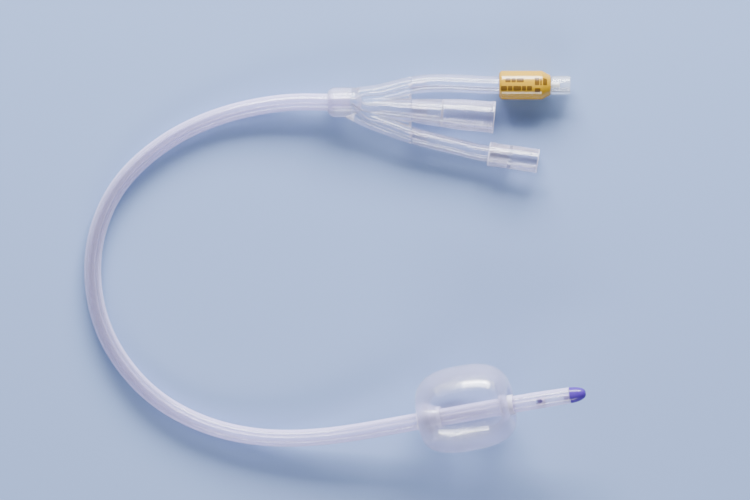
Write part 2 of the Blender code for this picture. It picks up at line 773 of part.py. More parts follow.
def build_hub(fill_route, flush_route, drain_route, parent):
    """The junction moulding: a collar on the tubing, three branches, webs and spigots."""
    height = junction_height()
    profile = [
        (0.0, 0.0),
        (0.0, COLLAR_REAR_RADIUS),
        (COLLAR_CHAMFER, COLLAR_RADIUS),
        (COLLAR_LENGTH, COLLAR_RADIUS),
        (COLLAR_LENGTH + 0.5 * COLLAR_SHOULDER, COLLAR_SHOULDER_RADIUS),
        (COLLAR_LENGTH + COLLAR_SHOULDER, COLLAR_FRONT_RADIUS),
        (COLLAR_LENGTH + COLLAR_SHOULDER, 0.0),
    ]
    hub = make_object("junction_hub", turned_mesh(profile, SIDES_FINE), clear_silicone(), parent)
    aim(hub, Vector((HUB_REAR_X, HUB_Y, height)), Vector((1.0, 0.0, 0.0)))

    past = HUB_FRONT_X + MM
    branches = (
        ("drain_branch", drain_route, [FUNNEL_ROOT_RADIUS], SIDES_FINE),
        ("fill_branch", fill_route, [FILL_ARM_RADIUS], SIDES_TURNED),
        ("flush_branch", flush_route, [FLUSH_ARM_RADIUS], SIDES_TURNED),
    )
    for name, route, radii, sides in branches:
        finish = route.distance_at_x(past)
        if route is drain_route:
            radii = [funnel_radius(route, share * finish) for share in np.linspace(0.0, 1.0, 6)]
        guide = swept_guide(name, route, 0.0, finish, radii, sides, parent)
        combine(hub, guide, "UNION")
    combine(hub, web_guide(fill_route, flush_route, parent), "UNION")

    bm = bmesh.new()
    size = 2.0 * (HUB_FRONT_X - HUB_REAR_X)
    place = Matrix.Translation((HUB_FRONT_X + 0.5 * size, HUB_Y, height))
    bmesh.ops.create_cube(bm, size=size, matrix=place)
    combine(hub, make_guide("hub_front_cut", bm, parent), "DIFFERENCE")

    spigots = (
        ("drain_spigot", drain_route, FUNNEL_NECK_BORE),
        ("fill_spigot", fill_route, FILL_ARM_BORE),
        ("flush_spigot", flush_route, FLUSH_ARM_BORE),
    )
    for name, route, bore in spigots:
        front = route.distance_at_x(HUB_FRONT_X)
        start = front - SPIGOT_ROOT
        finish = front + SPIGOT_LENGTH
        guide = swept_guide(name, route, start, finish, [bore - SEAT_GAP], SIDES_SPIGOT, parent)
        combine(hub, guide, "UNION")

    floor_x = HUB_REAR_X + SHAFT_SEAT_DEPTH + FACE_GAP
    fill_side, fill_up = fill_lumen_place()
    channels = (
        ("drain_passage", drain_route, DRAIN_LUMEN_SIDE, 0.0, DRAIN_LUMEN_RADIUS, FUNNEL_NECK_BORE),
        ("fill_passage", fill_route, fill_side, fill_up, FILL_LUMEN_RADIUS, FILL_ARM_BORE),
        ("flush_passage", flush_route, flush_lumen_side(), 0.0, FLUSH_LUMEN_HALF_WIDTH, FLUSH_ARM_BORE),
    )
    for name, route, side, up, root, bore in channels:
        start = Vector((floor_x, HUB_Y - side, height + up))
        wide = bore - SEAT_GAP - SPIGOT_WALL
        radii = [root, 0.5 * (root + wide), wide, wide, wide, wide]
        combine(hub, passage(name, start, route, radii, parent), "DIFFERENCE")

    seat = turned_mesh(
        [
            (-MM, 0.0),
            (-MM, SHAFT_RADIUS + SEAT_GAP),
            (SHAFT_SEAT_DEPTH + FACE_GAP, SHAFT_RADIUS + SEAT_GAP),
            (SHAFT_SEAT_DEPTH + FACE_GAP, 0.0),
        ],
        SIDES_FINE,
    )
    cutter = make_guide("shaft_seat_cut", seat, parent)
    aim(cutter, Vector((HUB_REAR_X, HUB_Y, height)), Vector((1.0, 0.0, 0.0)))
    combine(hub, cutter, "DIFFERENCE")
    return hub


def build_funnel(route, parent):
    """The drainage funnel: a flared wall, a rim, and a stepped tapered socket for a connector."""
    start = route.distance_at_x(HUB_FRONT_X)
    mouth = route.length
    socket = mouth - FUNNEL_SOCKET_DEPTH
    outer = [(start, funnel_radius(route, start))]
    for distance in np.linspace(start, mouth - FUNNEL_RIM_LENGTH, 8)[1:]:
        outer.append((distance, funnel_radius(route, distance)))
    rim = FUNNEL_MOUTH_RADIUS + FUNNEL_RIM
    outer += [(mouth - FUNNEL_RIM_LENGTH + FUNNEL_RIM, rim), (mouth - 0.5 * FUNNEL_RIM, rim)]
    outer += [(mouth, FUNNEL_MOUTH_RADIUS)]
    inner = [(mouth, FUNNEL_SOCKET_MOUTH)]
    for ring in range(FUNNEL_SOCKET_RINGS, 0, -1):
        share = (ring - 0.5) / FUNNEL_SOCKET_RINGS
        distance = socket + share * FUNNEL_SOCKET_DEPTH
        radius = FUNNEL_SOCKET_ROOT + share * (FUNNEL_SOCKET_MOUTH - FUNNEL_SOCKET_ROOT)
        inner += [(distance + FUNNEL_RING_STEP, radius + FUNNEL_RING_STEP)]
        inner += [(distance, radius)]
    inner += [(socket, FUNNEL_SOCKET_ROOT), (socket - MM, FUNNEL_NECK_BORE), (start, FUNNEL_NECK_BORE)]
    bm = bmesh.new()
    loops = []
    for index, (distance, radius) in enumerate(outer + inner):
        ring = ring_points(route, distance, radius, SIDES_FINE)
        if index in (0, len(outer + inner) - 1):
            along = route.frame(distance)[1]
            ring = slide_to_plane(ring, along, HUB_FRONT_X + FACE_GAP)
        loops.append(add_loop(bm, ring))
    skin_loops(bm, loops, closed=True)
    return make_object("drainage_funnel", bm, clear_silicone(), parent)


def build_arm(name, route, end, radius, bores, parent):
    """A plain round tube from the junction's face to its seat, its bore given by steps.

    bores is a list of (distance, bore radius) from the far end back.
    """
    start = route.distance_at_x(HUB_FRONT_X)
    count = max(5, round((end - start) / ARM_STATION) + 1)
    stations = [float(distance) for distance in np.linspace(start, end, count)]
    bm = bmesh.new()
    outline = [(distance, radius) for distance in stations]
    outline += bores
    last_bore_distance, last_bore = bores[-1]
    outline += [(d, last_bore) for d in reversed(stations) if d < last_bore_distance - MM]
    loops = []
    for index, (distance, size) in enumerate(outline):
        ring = ring_points(route, distance, size, SIDES_SHAFT)
        if index in (0, len(outline) - 1):
            along = route.frame(distance)[1]
            ring = slide_to_plane(ring, along, HUB_FRONT_X + FACE_GAP)
        loops.append(add_loop(bm, ring))
    skin_loops(bm, loops, closed=True)
    return make_object(name, bm, silicone(), parent)


def fill_arm_seat():
    """How far the inflation arm reaches into the sleeve, up to the retainer's flange."""
    return retainer_flange_start() - FACE_GAP


def build_fill_arm(route, parent):
    """The inflation arm, its end widened to take the retainer's barbs."""
    end = route.length
    pocket = end - BARB_LENGTH - 2.0 * SEAT_GAP
    wide = BARB_CREST_RADIUS + SEAT_GAP
    bores = [(end, wide), (pocket, wide), (pocket - ARM_POCKET_TAPER, FILL_ARM_BORE)]
    return build_arm("inflation_arm", route, end, FILL_ARM_RADIUS, bores, parent)


def build_flush_arm(route, parent):
    """The irrigation arm, ending against the stop in its cuff."""
    end = route.length - FACE_GAP
    bores = [(end, FLUSH_ARM_BORE)]
    return build_arm("irrigation_arm", route, end, FLUSH_ARM_RADIUS, bores, parent)


def build_cuff(parent):
    """The irrigation cuff: a lip, a seat for the arm, a stop and a tapered socket."""
    stop = CUFF_TUBE_DEPTH
    seat = FLUSH_ARM_RADIUS + SEAT_GAP
    socket = stop + CUFF_STOP_LENGTH
    profile = [
        (0.0, seat),
        (0.0, CUFF_ROOT_RADIUS - CUFF_LIP_EDGE),
        (CUFF_LIP_EDGE, CUFF_ROOT_RADIUS + CUFF_LIP),
        (CUFF_LIP_LENGTH, CUFF_ROOT_RADIUS + CUFF_LIP),
        (CUFF_LIP_LENGTH + CUFF_LIP, CUFF_ROOT_RADIUS),
        (CUFF_LENGTH - CUFF_MOUTH_EDGE, CUFF_MOUTH_RADIUS),
        (CUFF_LENGTH, CUFF_MOUTH_RADIUS - CUFF_MOUTH_EDGE),
        (CUFF_LENGTH, CUFF_SOCKET_MOUTH),
        (socket, CUFF_SOCKET_ROOT),
        (socket, CUFF_STOP_BORE),
        (stop, CUFF_STOP_BORE),
        (stop, seat),
    ]
    cuff = make_object("irrigation_cuff", turned_mesh(profile, SIDES_FINE), clear_silicone(), parent)
    aim(cuff, Vector((*CUFF_START, cuff_height())), heading_vector(CUFF_HEADING))
    return cuff


def head_start():
    """Distance along the valve's axis at which the luer head begins, just past the sleeve."""
    return SLEEVE_LENGTH + FACE_GAP


def housing_start():
    """Rear end of the valve's housing."""
    return head_start() - VALVE_NECK_LENGTH - VALVE_HOUSING_LENGTH


def seat_web_start():
    """Rear face of the web that the seal closes on."""
    return head_start() - SEAT_WEB + FACE_GAP


def retainer_flange_start():
    """Rear face of the retainer's flange, which the inflation arm meets."""
    return housing_start() - FACE_GAP - RETAINER_FLANGE_LENGTH


def spring_seat():
    """Front face of the retainer's plug, which carries the spring."""
    return housing_start() + RETAINER_PLUG_LENGTH


def seal_start():
    """Rear face of the seal at rest."""
    return seat_web_start() - SEAT_GAP - SEAL_THICKNESS


def stem_head_start():
    """Rear face of the stem's head at rest."""
    return seal_start() - SEAT_GAP - STEM_HEAD_LENGTH


def place_on_valve_axis(item, distance):
    """Place a turned valve piece at a distance along the valve's axis, which is +X."""
    start = Vector((*VALVE_START, SLEEVE_RADIUS))
    aim(item, start + Vector((distance, 0.0, 0.0)), Vector((1.0, 0.0, 0.0)))


def build_sleeve(parent):
    """The yellow sleeve over the end of the inflation arm and the valve's housing."""
    wide = FILL_ARM_RADIUS + SEAT_GAP
    narrow = VALVE_NECK_RADIUS + SEAT_GAP
    step = head_start() - VALVE_NECK_LENGTH + SEAT_GAP
    nose = SLEEVE_LENGTH - SLEEVE_NOSE_LENGTH
    profile = [
        (0.0, wide),
        (0.0, SLEEVE_RADIUS - SLEEVE_REAR_CHAMFER),
        (SLEEVE_REAR_CHAMFER, SLEEVE_RADIUS),
        (nose, SLEEVE_RADIUS),
        (SLEEVE_LENGTH, SLEEVE_NOSE_RADIUS),
        (SLEEVE_LENGTH, narrow),
        (step, narrow),
        (step, wide),
    ]
    sleeve = make_object("valve_sleeve", turned_mesh(profile, SIDES_FINE), yellow_sleeve(), parent)
    place_on_valve_axis(sleeve, 0.0)
    return sleeve


def build_valve_body(parent):
    """The clear housing: a chamber, a seat web and a tapered luer socket with two lugs."""
    start = housing_start()
    neck = head_start() - VALVE_NECK_LENGTH
    head = head_start()
    mouth = head + LUER_HEAD_LENGTH
    web = seat_web_start()
    floor = web + SEAT_WEB
    socket_floor_radius = LUER_MOUTH_BORE - LUER_TAPER * (mouth - floor)
    profile = [
        (start, CHAMBER_RADIUS),
        (start, FILL_ARM_RADIUS),
        (neck, FILL_ARM_RADIUS),
        (neck, VALVE_NECK_RADIUS),
        (head, VALVE_NECK_RADIUS),
        (head, LUER_HEAD_RADIUS - LUER_HEAD_EDGE),
        (head + LUER_HEAD_EDGE, LUER_HEAD_RADIUS),
        (mouth, LUER_HEAD_RADIUS),
        (mouth, LUER_MOUTH_BORE),
        (floor, socket_floor_radius),
        (floor, SEAT_HOLE_RADIUS),
        (web, SEAT_HOLE_RADIUS),
        (web, CHAMBER_RADIUS),
    ]
    body = make_object("valve_body", turned_mesh(profile, SIDES_FINE), clear_plastic(), parent)
    place_on_valve_axis(body, 0.0)
    for name, side in (("upper_lug", 1.0), ("lower_lug", -1.0)):
        bm = bmesh.new()
        bmesh.ops.create_cube(bm, size=1.0)
        thickness = LUG_HEIGHT + LUG_ROOT
        bmesh.ops.scale(bm, vec=(LUG_LENGTH, LUG_WIDTH, thickness), verts=bm.verts)
        lug = make_guide(name, bm, parent)
        rise = side * (LUER_HEAD_RADIUS + LUG_HEIGHT - 0.5 * thickness)
        lug.location = (
            VALVE_START[0] + mouth - 0.5 * LUG_LENGTH - LUG_SETBACK,
            VALVE_START[1],
            SLEEVE_RADIUS + rise,
        )
        combine(body, lug, "UNION")
    return body


def build_retainer(parent):
    """The barbed retainer: barbs in the arm, a flange, and a plug that carries the spring."""
    flange = retainer_flange_start()
    plug = housing_start()
    rear = flange - BARB_LENGTH
    pitch = BARB_LENGTH / BARB_COUNT
    profile = [(rear, RETAINER_BORE)]
    for barb in range(BARB_COUNT):
        base = rear + barb * pitch
        profile += [(base, BARB_ROOT_RADIUS), (base + BARB_RISE * pitch, BARB_CREST_RADIUS)]
        profile += [(base + (BARB_RISE + BARB_DROP) * pitch, BARB_ROOT_RADIUS)]
    profile += [
        (flange, BARB_ROOT_RADIUS),
        (flange, RETAINER_FLANGE_RADIUS),
        (flange + RETAINER_FLANGE_LENGTH, RETAINER_FLANGE_RADIUS),
        (flange + RETAINER_FLANGE_LENGTH, CHAMBER_RADIUS - SEAT_GAP),
        (plug + RETAINER_PLUG_LENGTH, CHAMBER_RADIUS - SEAT_GAP),
        (plug + RETAINER_PLUG_LENGTH, RETAINER_BORE),
    ]
    mesh = turned_mesh(profile, SIDES_TURNED)
    retainer = make_object("valve_retainer", mesh, white_plastic(), parent)
    place_on_valve_axis(retainer, 0.0)
    return retainer


def build_stem(parent):
    """The sliding stem: a head behind the seal, a wide tip into the luer socket and a tail.

    Its origin is its head's rear face, on the axis that it slides along. The tail, inside the
    spring, stops short of the retainer by the stem's travel and a margin. The tip keeps the
    seal on the stem.
    """
    head = stem_head_start()
    tip = seat_web_start() - head
    front = head_start() + STEM_REACH
    tail = head - spring_seat() - STEM_TRAVEL - STEM_TAIL_STOP
    profile = [
        (-tail, 0.0),
        (-tail, STEM_RADIUS - STEM_EDGE),
        (STEM_EDGE - tail, STEM_RADIUS),
        (0.0, STEM_RADIUS),
        (0.0, STEM_HEAD_RADIUS),
        (STEM_HEAD_LENGTH, STEM_HEAD_RADIUS),
        (STEM_HEAD_LENGTH, STEM_RADIUS),
        (tip, STEM_RADIUS),
        (tip, STEM_TIP_RADIUS),
        (front - head - STEM_EDGE, STEM_TIP_RADIUS),
        (front - head, STEM_TIP_RADIUS - STEM_EDGE),
        (front - head, 0.0),
    ]
    stem = make_object("valve_stem", turned_mesh(profile, SIDES_SHAFT), white_plastic(), parent)
    place_on_valve_axis(stem, head)
    return stem


def build_seal(parent):
    """The rubber seal ring on the stem, closed against the seat web."""
    inner = STEM_RADIUS + SEAT_GAP
    edge = SEAL_EDGE
    profile = [
        (0.0, inner + edge),
        (0.0, SEAL_RADIUS - edge),
        (edge, SEAL_RADIUS),
        (SEAL_THICKNESS - edge, SEAL_RADIUS),
        (SEAL_THICKNESS, SEAL_RADIUS - edge),
        (SEAL_THICKNESS, inner + edge),
        (SEAL_THICKNESS - edge, inner),
        (edge, inner),
    ]
    seal = make_object("valve_seal", turned_mesh(profile, SIDES_TURNED), seal_rubber(), parent, 60.0)
    place_on_valve_axis(seal, seal_start())
    return seal


def build_spring(parent):
    """The coil spring between the retainer's plug and the stem's head."""
    start = spring_seat() + FACE_GAP + SPRING_WIRE_RADIUS
    finish = stem_head_start() - FACE_GAP - SPRING_WIRE_RADIUS
    count = round(SPRING_TURNS * SPRING_STEPS_PER_TURN) + 1
    axis = Vector((*VALVE_START, SLEEVE_RADIUS))
    points = []
    for k in range(count):
        share = k / (count - 1)
        turn = 2.0 * math.pi * SPRING_TURNS * share
        offset = Vector((0.0, SPRING_RADIUS * math.cos(turn), SPRING_RADIUS * math.sin(turn)))
        points.append(axis + Vector((start + share * (finish - start), 0.0, 0.0)) + offset)
    bm = bmesh.new()
    loops = []
    for k, point in enumerate(points):
        along = (points[min(k + 1, count - 1)] - points[max(k - 1, 0)]).normalized()
        out = point - axis
        out.x = 0.0
        out.normalize()
        across = along.cross(out).normalized()
        out = across.cross(along)
        ring = []
        for side in range(SPRING_SIDES):
            angle = 2.0 * math.pi * side / SPRING_SIDES
            step = out * math.cos(angle) + across * math.sin(angle)
            ring.append(point + step * SPRING_WIRE_RADIUS)
        loops.append(add_loop(bm, ring))
    skin_loops(bm, loops)
    close_end(bm, loops[:1])
    close_end(bm, loops[-1:])
    return make_object("valve_spring", bm, spring_steel(), parent, 60.0)


def centre_on_table(root, pieces):
    """Shift the whole model so that its box is centred on the origin and stands on Z = 0."""
    bpy.context.view_layer.update()
    depsgraph = bpy.context.evaluated_depsgraph_get()
    low = Vector((math.inf,) * 3)
    high = Vector((-math.inf,) * 3)
    for piece in pieces:
        evaluated = piece.evaluated_get(depsgraph)
        for vertex in evaluated.data.vertices:
            place = evaluated.matrix_world @ vertex.co
            low = Vector(map(min, low, place))
            high = Vector(map(max, high, place))
    root.location = (-0.5 * (low.x + high.x), -0.5 * (low.y + high.y), -low.z)
    bpy.context.view_layer.update()


def main():
    """Build every piece of the catheter."""
    clear_scene()
    root = bpy.data.objects.new("catheter", None)
    bpy.context.scene.collection.objects.link(root)
    tubing = shaft_route()
    fill = fill_arm_route()
    flush = flush_arm_route()
    drain = funnel_route()
    pieces = [
        build_shaft(tubing, root),
        build_tip(tubing, root),
        build_balloon(tubing, root),
        build_hub(fill, flush, drain, root),
        build_funnel(drain, root),
        build_fill_arm(fill, root),
        build_flush_arm(flush, root),
        build_cuff(root),
        build_sleeve(root),
        build_valve_body(root),
        build_retainer(root),
        build_stem(root),
        build_seal(root),
        build_spring(root),
    ]
    centre_on_table(root, pieces)


main()
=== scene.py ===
"""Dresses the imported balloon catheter: clear and milky silicone, a yellow valve sleeve, a pale table.

Every piece is a profile carried along a route, or a few of those joined and cut. The routes and
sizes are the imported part's own, so each piece lies where the solid it stands for lies.
"""

import logging
import math
from dataclasses import dataclass, field
from enum import Enum
from typing import Any, Optional, Sequence

import bmesh
import bpy
import numpy as np
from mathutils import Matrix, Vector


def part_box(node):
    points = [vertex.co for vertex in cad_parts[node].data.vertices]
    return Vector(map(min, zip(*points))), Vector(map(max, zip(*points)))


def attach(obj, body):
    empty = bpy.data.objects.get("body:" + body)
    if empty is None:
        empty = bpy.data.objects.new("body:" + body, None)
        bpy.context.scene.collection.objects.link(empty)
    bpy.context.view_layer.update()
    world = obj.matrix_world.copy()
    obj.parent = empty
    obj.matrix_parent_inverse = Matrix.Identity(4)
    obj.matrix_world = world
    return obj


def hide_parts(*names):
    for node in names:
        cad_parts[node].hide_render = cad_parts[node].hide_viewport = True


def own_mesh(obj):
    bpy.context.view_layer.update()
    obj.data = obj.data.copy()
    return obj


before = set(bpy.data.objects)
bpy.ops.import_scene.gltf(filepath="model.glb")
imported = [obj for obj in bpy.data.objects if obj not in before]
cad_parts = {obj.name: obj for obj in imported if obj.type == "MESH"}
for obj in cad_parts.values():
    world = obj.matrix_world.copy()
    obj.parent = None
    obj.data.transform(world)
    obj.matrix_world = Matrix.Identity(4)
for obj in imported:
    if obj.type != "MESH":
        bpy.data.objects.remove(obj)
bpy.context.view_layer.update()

MM = 0.001
SEAT_GAP = 0.15 * MM
FACE_GAP = 0.20 * MM
SAME_POINT = 0.0001 * MM
RELIEF_DEPTH = 0.02 * MM
SHEEN_ROUGHNESS = 0.35
LONGEST_CORNER = 0.45
ROOT_BODY = "catheter"
PLUNGER_BODY = "valve_plunger"
LOG = logging.getLogger("catheter")

Array = np.ndarray
Colour = tuple[float, float, float]
Piece = bpy.types.Object
Socket = bpy.types.NodeSocket

X_WAY = np.array([1.0, 0.0, 0.0])
LINE_SHARES = np.array([[0.0], [0.5], [1.0]])


class Slot(Enum):
    """The record's material slots."""

    MILKY = "milky_silicone"
    CLEAR = "clear_silicone"
    MEMBRANE = "balloon_membrane"
    VIOLET = "violet_silicone"
    YELLOW = "yellow_sleeve"
    HOUSING = "clear_plastic"
    WHITE = "white_plastic"
    SEAL = "seal_rubber"
    STEEL = "spring_steel"


class Cut(Enum):
    """What a tool shape does to the piece it is put to."""

    REMOVE = "DIFFERENCE"
    ADD = "UNION"


# Routes, as x and y in mm before the part was centred on the table. The tubing's third and fourth
# numbers are its shares of the junction's rise and the balloon's; an arm's third is its share of
# the way down from the junction.
TUBING_PLAN = (
    (-13.3, 62.4, 0.88, 0.0), (-25.1, 61.4, 0.55, 0.0), (-37.0, 59.1, 0.22, 0.0),
    (-49.1, 55.3, 0.03, 0.0), (-61.4, 49.5, 0.0, 0.0), (-73.9, 40.7, 0.0, 0.0),
    (-84.0, 29.9, 0.0, 0.0), (-90.5, 17.8, 0.0, 0.0), (-93.9, 4.7, 0.0, 0.0),
    (-94.3, -7.2, 0.0, 0.0), (-92.5, -18.8, 0.0, 0.0), (-88.2, -30.4, 0.0, 0.0),
    (-81.4, -41.2, 0.0, 0.0), (-72.2, -51.0, 0.0, 0.002), (-59.9, -59.3, 0.0, 0.016),
    (-46.3, -64.9, 0.0, 0.051), (-32.6, -67.9, 0.0, 0.109), (-17.2, -68.8, 0.0, 0.207),
    (-1.7, -67.8, 0.0, 0.341), (13.9, -65.5, 0.0, 0.507), (25.6, -63.4, 0.0, 0.650),
    (33.5, -61.95, 0.0, 0.752), (52.1, -58.60, 0.0, 1.000), (70.6, -55.25, 0.0, 1.247),
    (84.2, -52.95, 0.0, 1.405), (97.7, -50.88, 0.0, 1.533),
)  # fmt: skip
INFLATION_PLAN = (
    (4.8, 63.3, 0.0), (9.0, 64.6, 0.0), (16.8, 65.7, 0.1), (24.2, 67.5, 0.25), (28.9, 68.6, 0.35),
    (33.9, 69.45, 0.5), (41.3, 69.8, 0.7), (50.0, 69.55, 0.9), (57.0, 69.15, 1.0),
)  # fmt: skip
IRRIGATION_PLAN = (
    (4.8, 59.8, 0.0), (9.4, 57.5, 0.0), (14.8, 55.0, 0.1), (20.3, 52.9, 0.22), (25.7, 50.9, 0.35),
    (31.2, 49.1, 0.48), (36.7, 47.7, 0.6), (42.1, 46.35, 0.72), (47.6, 45.05, 0.84), (53.2, 43.6, 0.95),
)  # fmt: skip


def turns(count: int) -> Array:
    """Angles of points spread evenly round a circle."""
    return np.linspace(0.0, 2.0 * math.pi, count, endpoint=False)


def squared(values: Array, power: float) -> Array:
    """Values to a power with their signs kept; of sines, a low power squares the circle off."""
    return np.sign(values) * np.abs(values) ** power


def unit(rows: Array) -> Array:
    """Rows scaled to a length of one."""
    return rows / np.linalg.norm(rows, axis=1)[:, None]


def running(rows: Array) -> Array:
    """Distance covered up to each row of a path."""
    return np.concatenate([[0.0], np.cumsum(np.linalg.norm(np.diff(rows, axis=0), axis=1))])


def level(heading: float) -> Array:
    """The level direction at an angle from +X."""
    return np.array([math.cos(heading), math.sin(heading), 0.0])


class Route:
    """A natural cubic spline through points, read by the distance along it.

    Between two knots a point is the blend of both by nearness, plus the cubed nearnesses times
    the knots' second derivatives. The frame there has its side level and its up square to both.
    """

    SAMPLES = 6000

    def __init__(self, points: Any) -> None:
        """Work out the curve.

        Args:
            points: knots in metres, one row of x, y and z each.
        """
        knots = np.asarray(points, float)
        chord = running(knots)
        bend = self._bends(chord, knots)
        where = np.linspace(0.0, chord[-1], self.SAMPLES)
        piece = np.clip(np.searchsorted(chord, where, side="right") - 1, 0, len(chord) - 2)
        span = (chord[piece + 1] - chord[piece])[:, None]
        late = ((where - chord[piece]) / span[:, 0])[:, None]
        early = 1.0 - late
        curve = (early**3 - early) * bend[piece] + (late**3 - late) * bend[piece + 1]
        self.path = early * knots[piece] + late * knots[piece + 1] + curve * span**2 / 6.0
        self.distance = running(self.path)
        self.length = float(self.distance[-1])
        self.heading = np.gradient(self.path, self.distance, axis=0)

    @classmethod
    def straight(cls, start: Array, way: Array, length: float) -> "Route":
        """A straight route from a point, along a direction of length one."""
        return cls(start + LINE_SHARES * way * length)

    @staticmethod
    def _bends(chord: Array, knots: Array) -> Array:
        """Second derivatives at the knots, zero at both ends.

        Args:
            chord: the knots' distances along the chords.
            knots: the knots.

        Returns:
            One row for each knot.
        """
        matrix = np.eye(len(chord))
        right = np.zeros_like(knots)
        for index in range(1, len(chord) - 1):
            before = chord[index] - chord[index - 1]
            after = chord[index + 1] - chord[index]
            matrix[index, index - 1 : index + 2] = before, 2.0 * (before + after), after
            rise = (knots[index + 1] - knots[index]) / after
            right[index] = 6.0 * (rise - (knots[index] - knots[index - 1]) / before)
        return np.linalg.solve(matrix, right)

    def frames(self, distances: Any) -> tuple[Array, Array, Array, Array]:
        """Points, tangents, sides and ups at distances, straight on past either end.

        Args:
            distances: distances from the start, in metres.

        Returns:
            Four arrays with a row for each distance.
        """
        wanted = np.atleast_1d(np.asarray(distances, float))
        inside = np.clip(wanted, 0.0, self.length)
        point, along = (
            np.stack([np.interp(inside, self.distance, table[:, k]) for k in range(3)], 1)
            for table in (self.path, self.heading)
        )
        along = unit(along)
        side = unit(np.cross([0.0, 0.0, 1.0], along))
        return point + along * (wanted - inside)[:, None], along, side, np.cross(along, side)

    def distance_at_x(self, x: float) -> float:
        """Distance at which a route that runs towards +X first reaches x."""
        return float(self.distance[int(np.argmax(self.path[:, 0] >= x))])


@dataclass
class Profile:
    """Places on a shape's outline: distances along a route, radii, and shifts to the side."""

    along: Array
    radius: Array
    shift: Array
    closed: bool = False

    @classmethod
    def through(cls, corners: Sequence[Sequence[float]], closed: bool = False) -> "Profile":
        """A profile through corners of (distance, radius) or (distance, radius, shift)."""
        return cls(*np.array([(*corner, 0.0)[:3] for corner in corners], float).T, closed)

    @classmethod
    def bar(cls, along: Array, radii: Array) -> "Profile":
        """A profile that drops to the line at both ends."""
        along = np.concatenate([along[:1], along, along[-1:]])
        return cls(along, np.concatenate([[0.0], radii, [0.0]]), np.zeros(len(along)))

    def table(self) -> Array:
        """The profile as rows of distance, radius and shift."""
        return np.stack([self.along, self.radius, self.shift], 1)

    def softened(self, reach: float, steps: int = 3) -> "Profile":
        """Round every corner with a short quadratic curve.

        Each corner is replaced by points of the curve that leaves one side at the reach before
        the corner, has the corner as its control point, and meets the next side at the reach
        after it. The reach is never more than nearly half of a side.

        Args:
            reach: how far from the corner the curve starts, in metres.
            steps: points on each curve.

        Returns:
            The rounded profile.
        """
        rows = self.table()
        start, end = (
            rows + way * np.minimum(reach / np.linalg.norm(way, axis=1)[:, None], LONGEST_CORNER)
            for way in (np.roll(rows, 1, axis=0) - rows, np.roll(rows, -1, axis=0) - rows)
        )
        share = np.linspace(0.0, 1.0, steps)[None, :, None]
        curve = (1.0 - share) ** 2 * start[:, None, :] + 2.0 * share * (1.0 - share) * rows[:, None, :]
        made = (curve + share**2 * end[:, None, :]).reshape(-1, 3)
        if not self.closed:
            made = np.concatenate([rows[:1], made[steps:-steps], rows[-1:]])
        return Profile(*made.T, self.closed)

    def refined(self, step: float) -> "Profile":
        """Add points so that no stretch is longer than a step, with every old point kept.

        Args:
            step: longest stretch, in metres.

        Returns:
            The finer profile.
        """
        rows = self.table()
        if self.closed:
            rows = np.concatenate([rows, rows[:1]])
        parts = np.maximum(1, np.ceil(np.diff(running(rows)) / step)).astype(int)
        piece = np.repeat(np.arange(len(parts)), parts)
        inner = np.arange(len(piece)) - np.repeat(np.cumsum(parts) - parts, parts)
        share = (inner / parts[piece])[:, None]
        made = rows[piece] * (1.0 - share) + rows[piece + 1] * share
        if not self.closed:
            made = np.concatenate([made, rows[-1:]])
        return Profile(*made.T, self.closed)


@dataclass
class Shell:
    """A grid of points that wraps round its columns, as faces with a texture place each."""

    grid: Array
    along: Optional[Array] = None
    closed: bool = False

    def faces(self) -> Array:
        """Quads as rows of four point numbers, facing outwards by the sign of their volume."""
        rows, columns = self.grid.shape[:2]
        row = np.arange(rows if self.closed else rows - 1)[:, None]
        column = np.arange(columns)[None, :]
        here, ahead = row * columns, (row + 1) % rows * columns
        beside = (column + 1) % columns
        quads = np.stack([here + column, here + beside, ahead + beside, ahead + column], -1)
        quads = quads.reshape(-1, 4)
        return quads[:, ::-1] if self._volume(quads) < 0.0 else quads

    def _volume(self, quads: Array) -> float:
        """Six times the signed volume inside the quads."""
        points = self.grid.reshape(-1, 3)
        a, b, c, d = (points[quads[:, k]] - points.mean(0) for k in range(4))
        return float(np.sum(np.cross(b, c) * a) + np.sum(np.cross(c, d) * a))

    def corner_places(self, quads: Array) -> Array:
        """Distance along and share round for each corner of each quad."""
        rows, columns = self.grid.shape[:2]
        row, column = np.divmod(quads, columns)
        wraps = (column.max(1) - column.min(1)) > 1
        column = np.where(wraps[:, None] & (column == 0), columns, column)
        along = np.zeros(rows) if self.along is None else self.along
        return np.stack([along[row], column / columns], -1)


def carry(route: Route, profile: Profile, sides: int, flatten: float = 1.0, lift: float = 0.0) -> Shell:
    """Carry a profile along a route.

    A point is the route's point at the row's distance, plus its side direction times the shift
    and the radius times the cosine of the column's angle, plus its up direction times the radius
    times the sine.

    Args:
        route: the line to follow.
        profile: distances, radii and shifts, one row each.
        sides: columns round the line.
        flatten: share of the radius that is kept across the side direction.
        lift: shift along the up direction.

    Returns:
        The grid of points.
    """
    point, _, side, up = route.frames(profile.along)
    angle = turns(sides)
    across = profile.shift[:, None] + profile.radius[:, None] * flatten * np.cos(angle)
    above = lift + profile.radius[:, None] * np.sin(angle)
    grid = point[:, None, :] + across[..., None] * side[:, None, :] + above[..., None] * up[:, None, :]
    return Shell(grid, profile.along, profile.closed)


def squarish_bar(centre: Array, half: Sequence[float], power: float, count: int, layers: Any) -> Array:
    """Rings of a bar that stands up from a centre, with an outline between an oval and a rectangle.

    Args:
        centre: the point it stands on.
        half: half its length along X and half its width along Y.
        power: how square the outline is; less is squarer.
        count: points on a ring.
        layers: rows of the share of the outline and the height.

    Returns:
        The grid of points.
    """
    x, y = half[0] * squared(np.cos(turns(count)), power), half[1] * squared(np.sin(turns(count)), power)
    rows = [np.stack([share * x, share * y, np.full_like(x, height)], 1) for share, height in layers]
    return centre + np.array(rows)


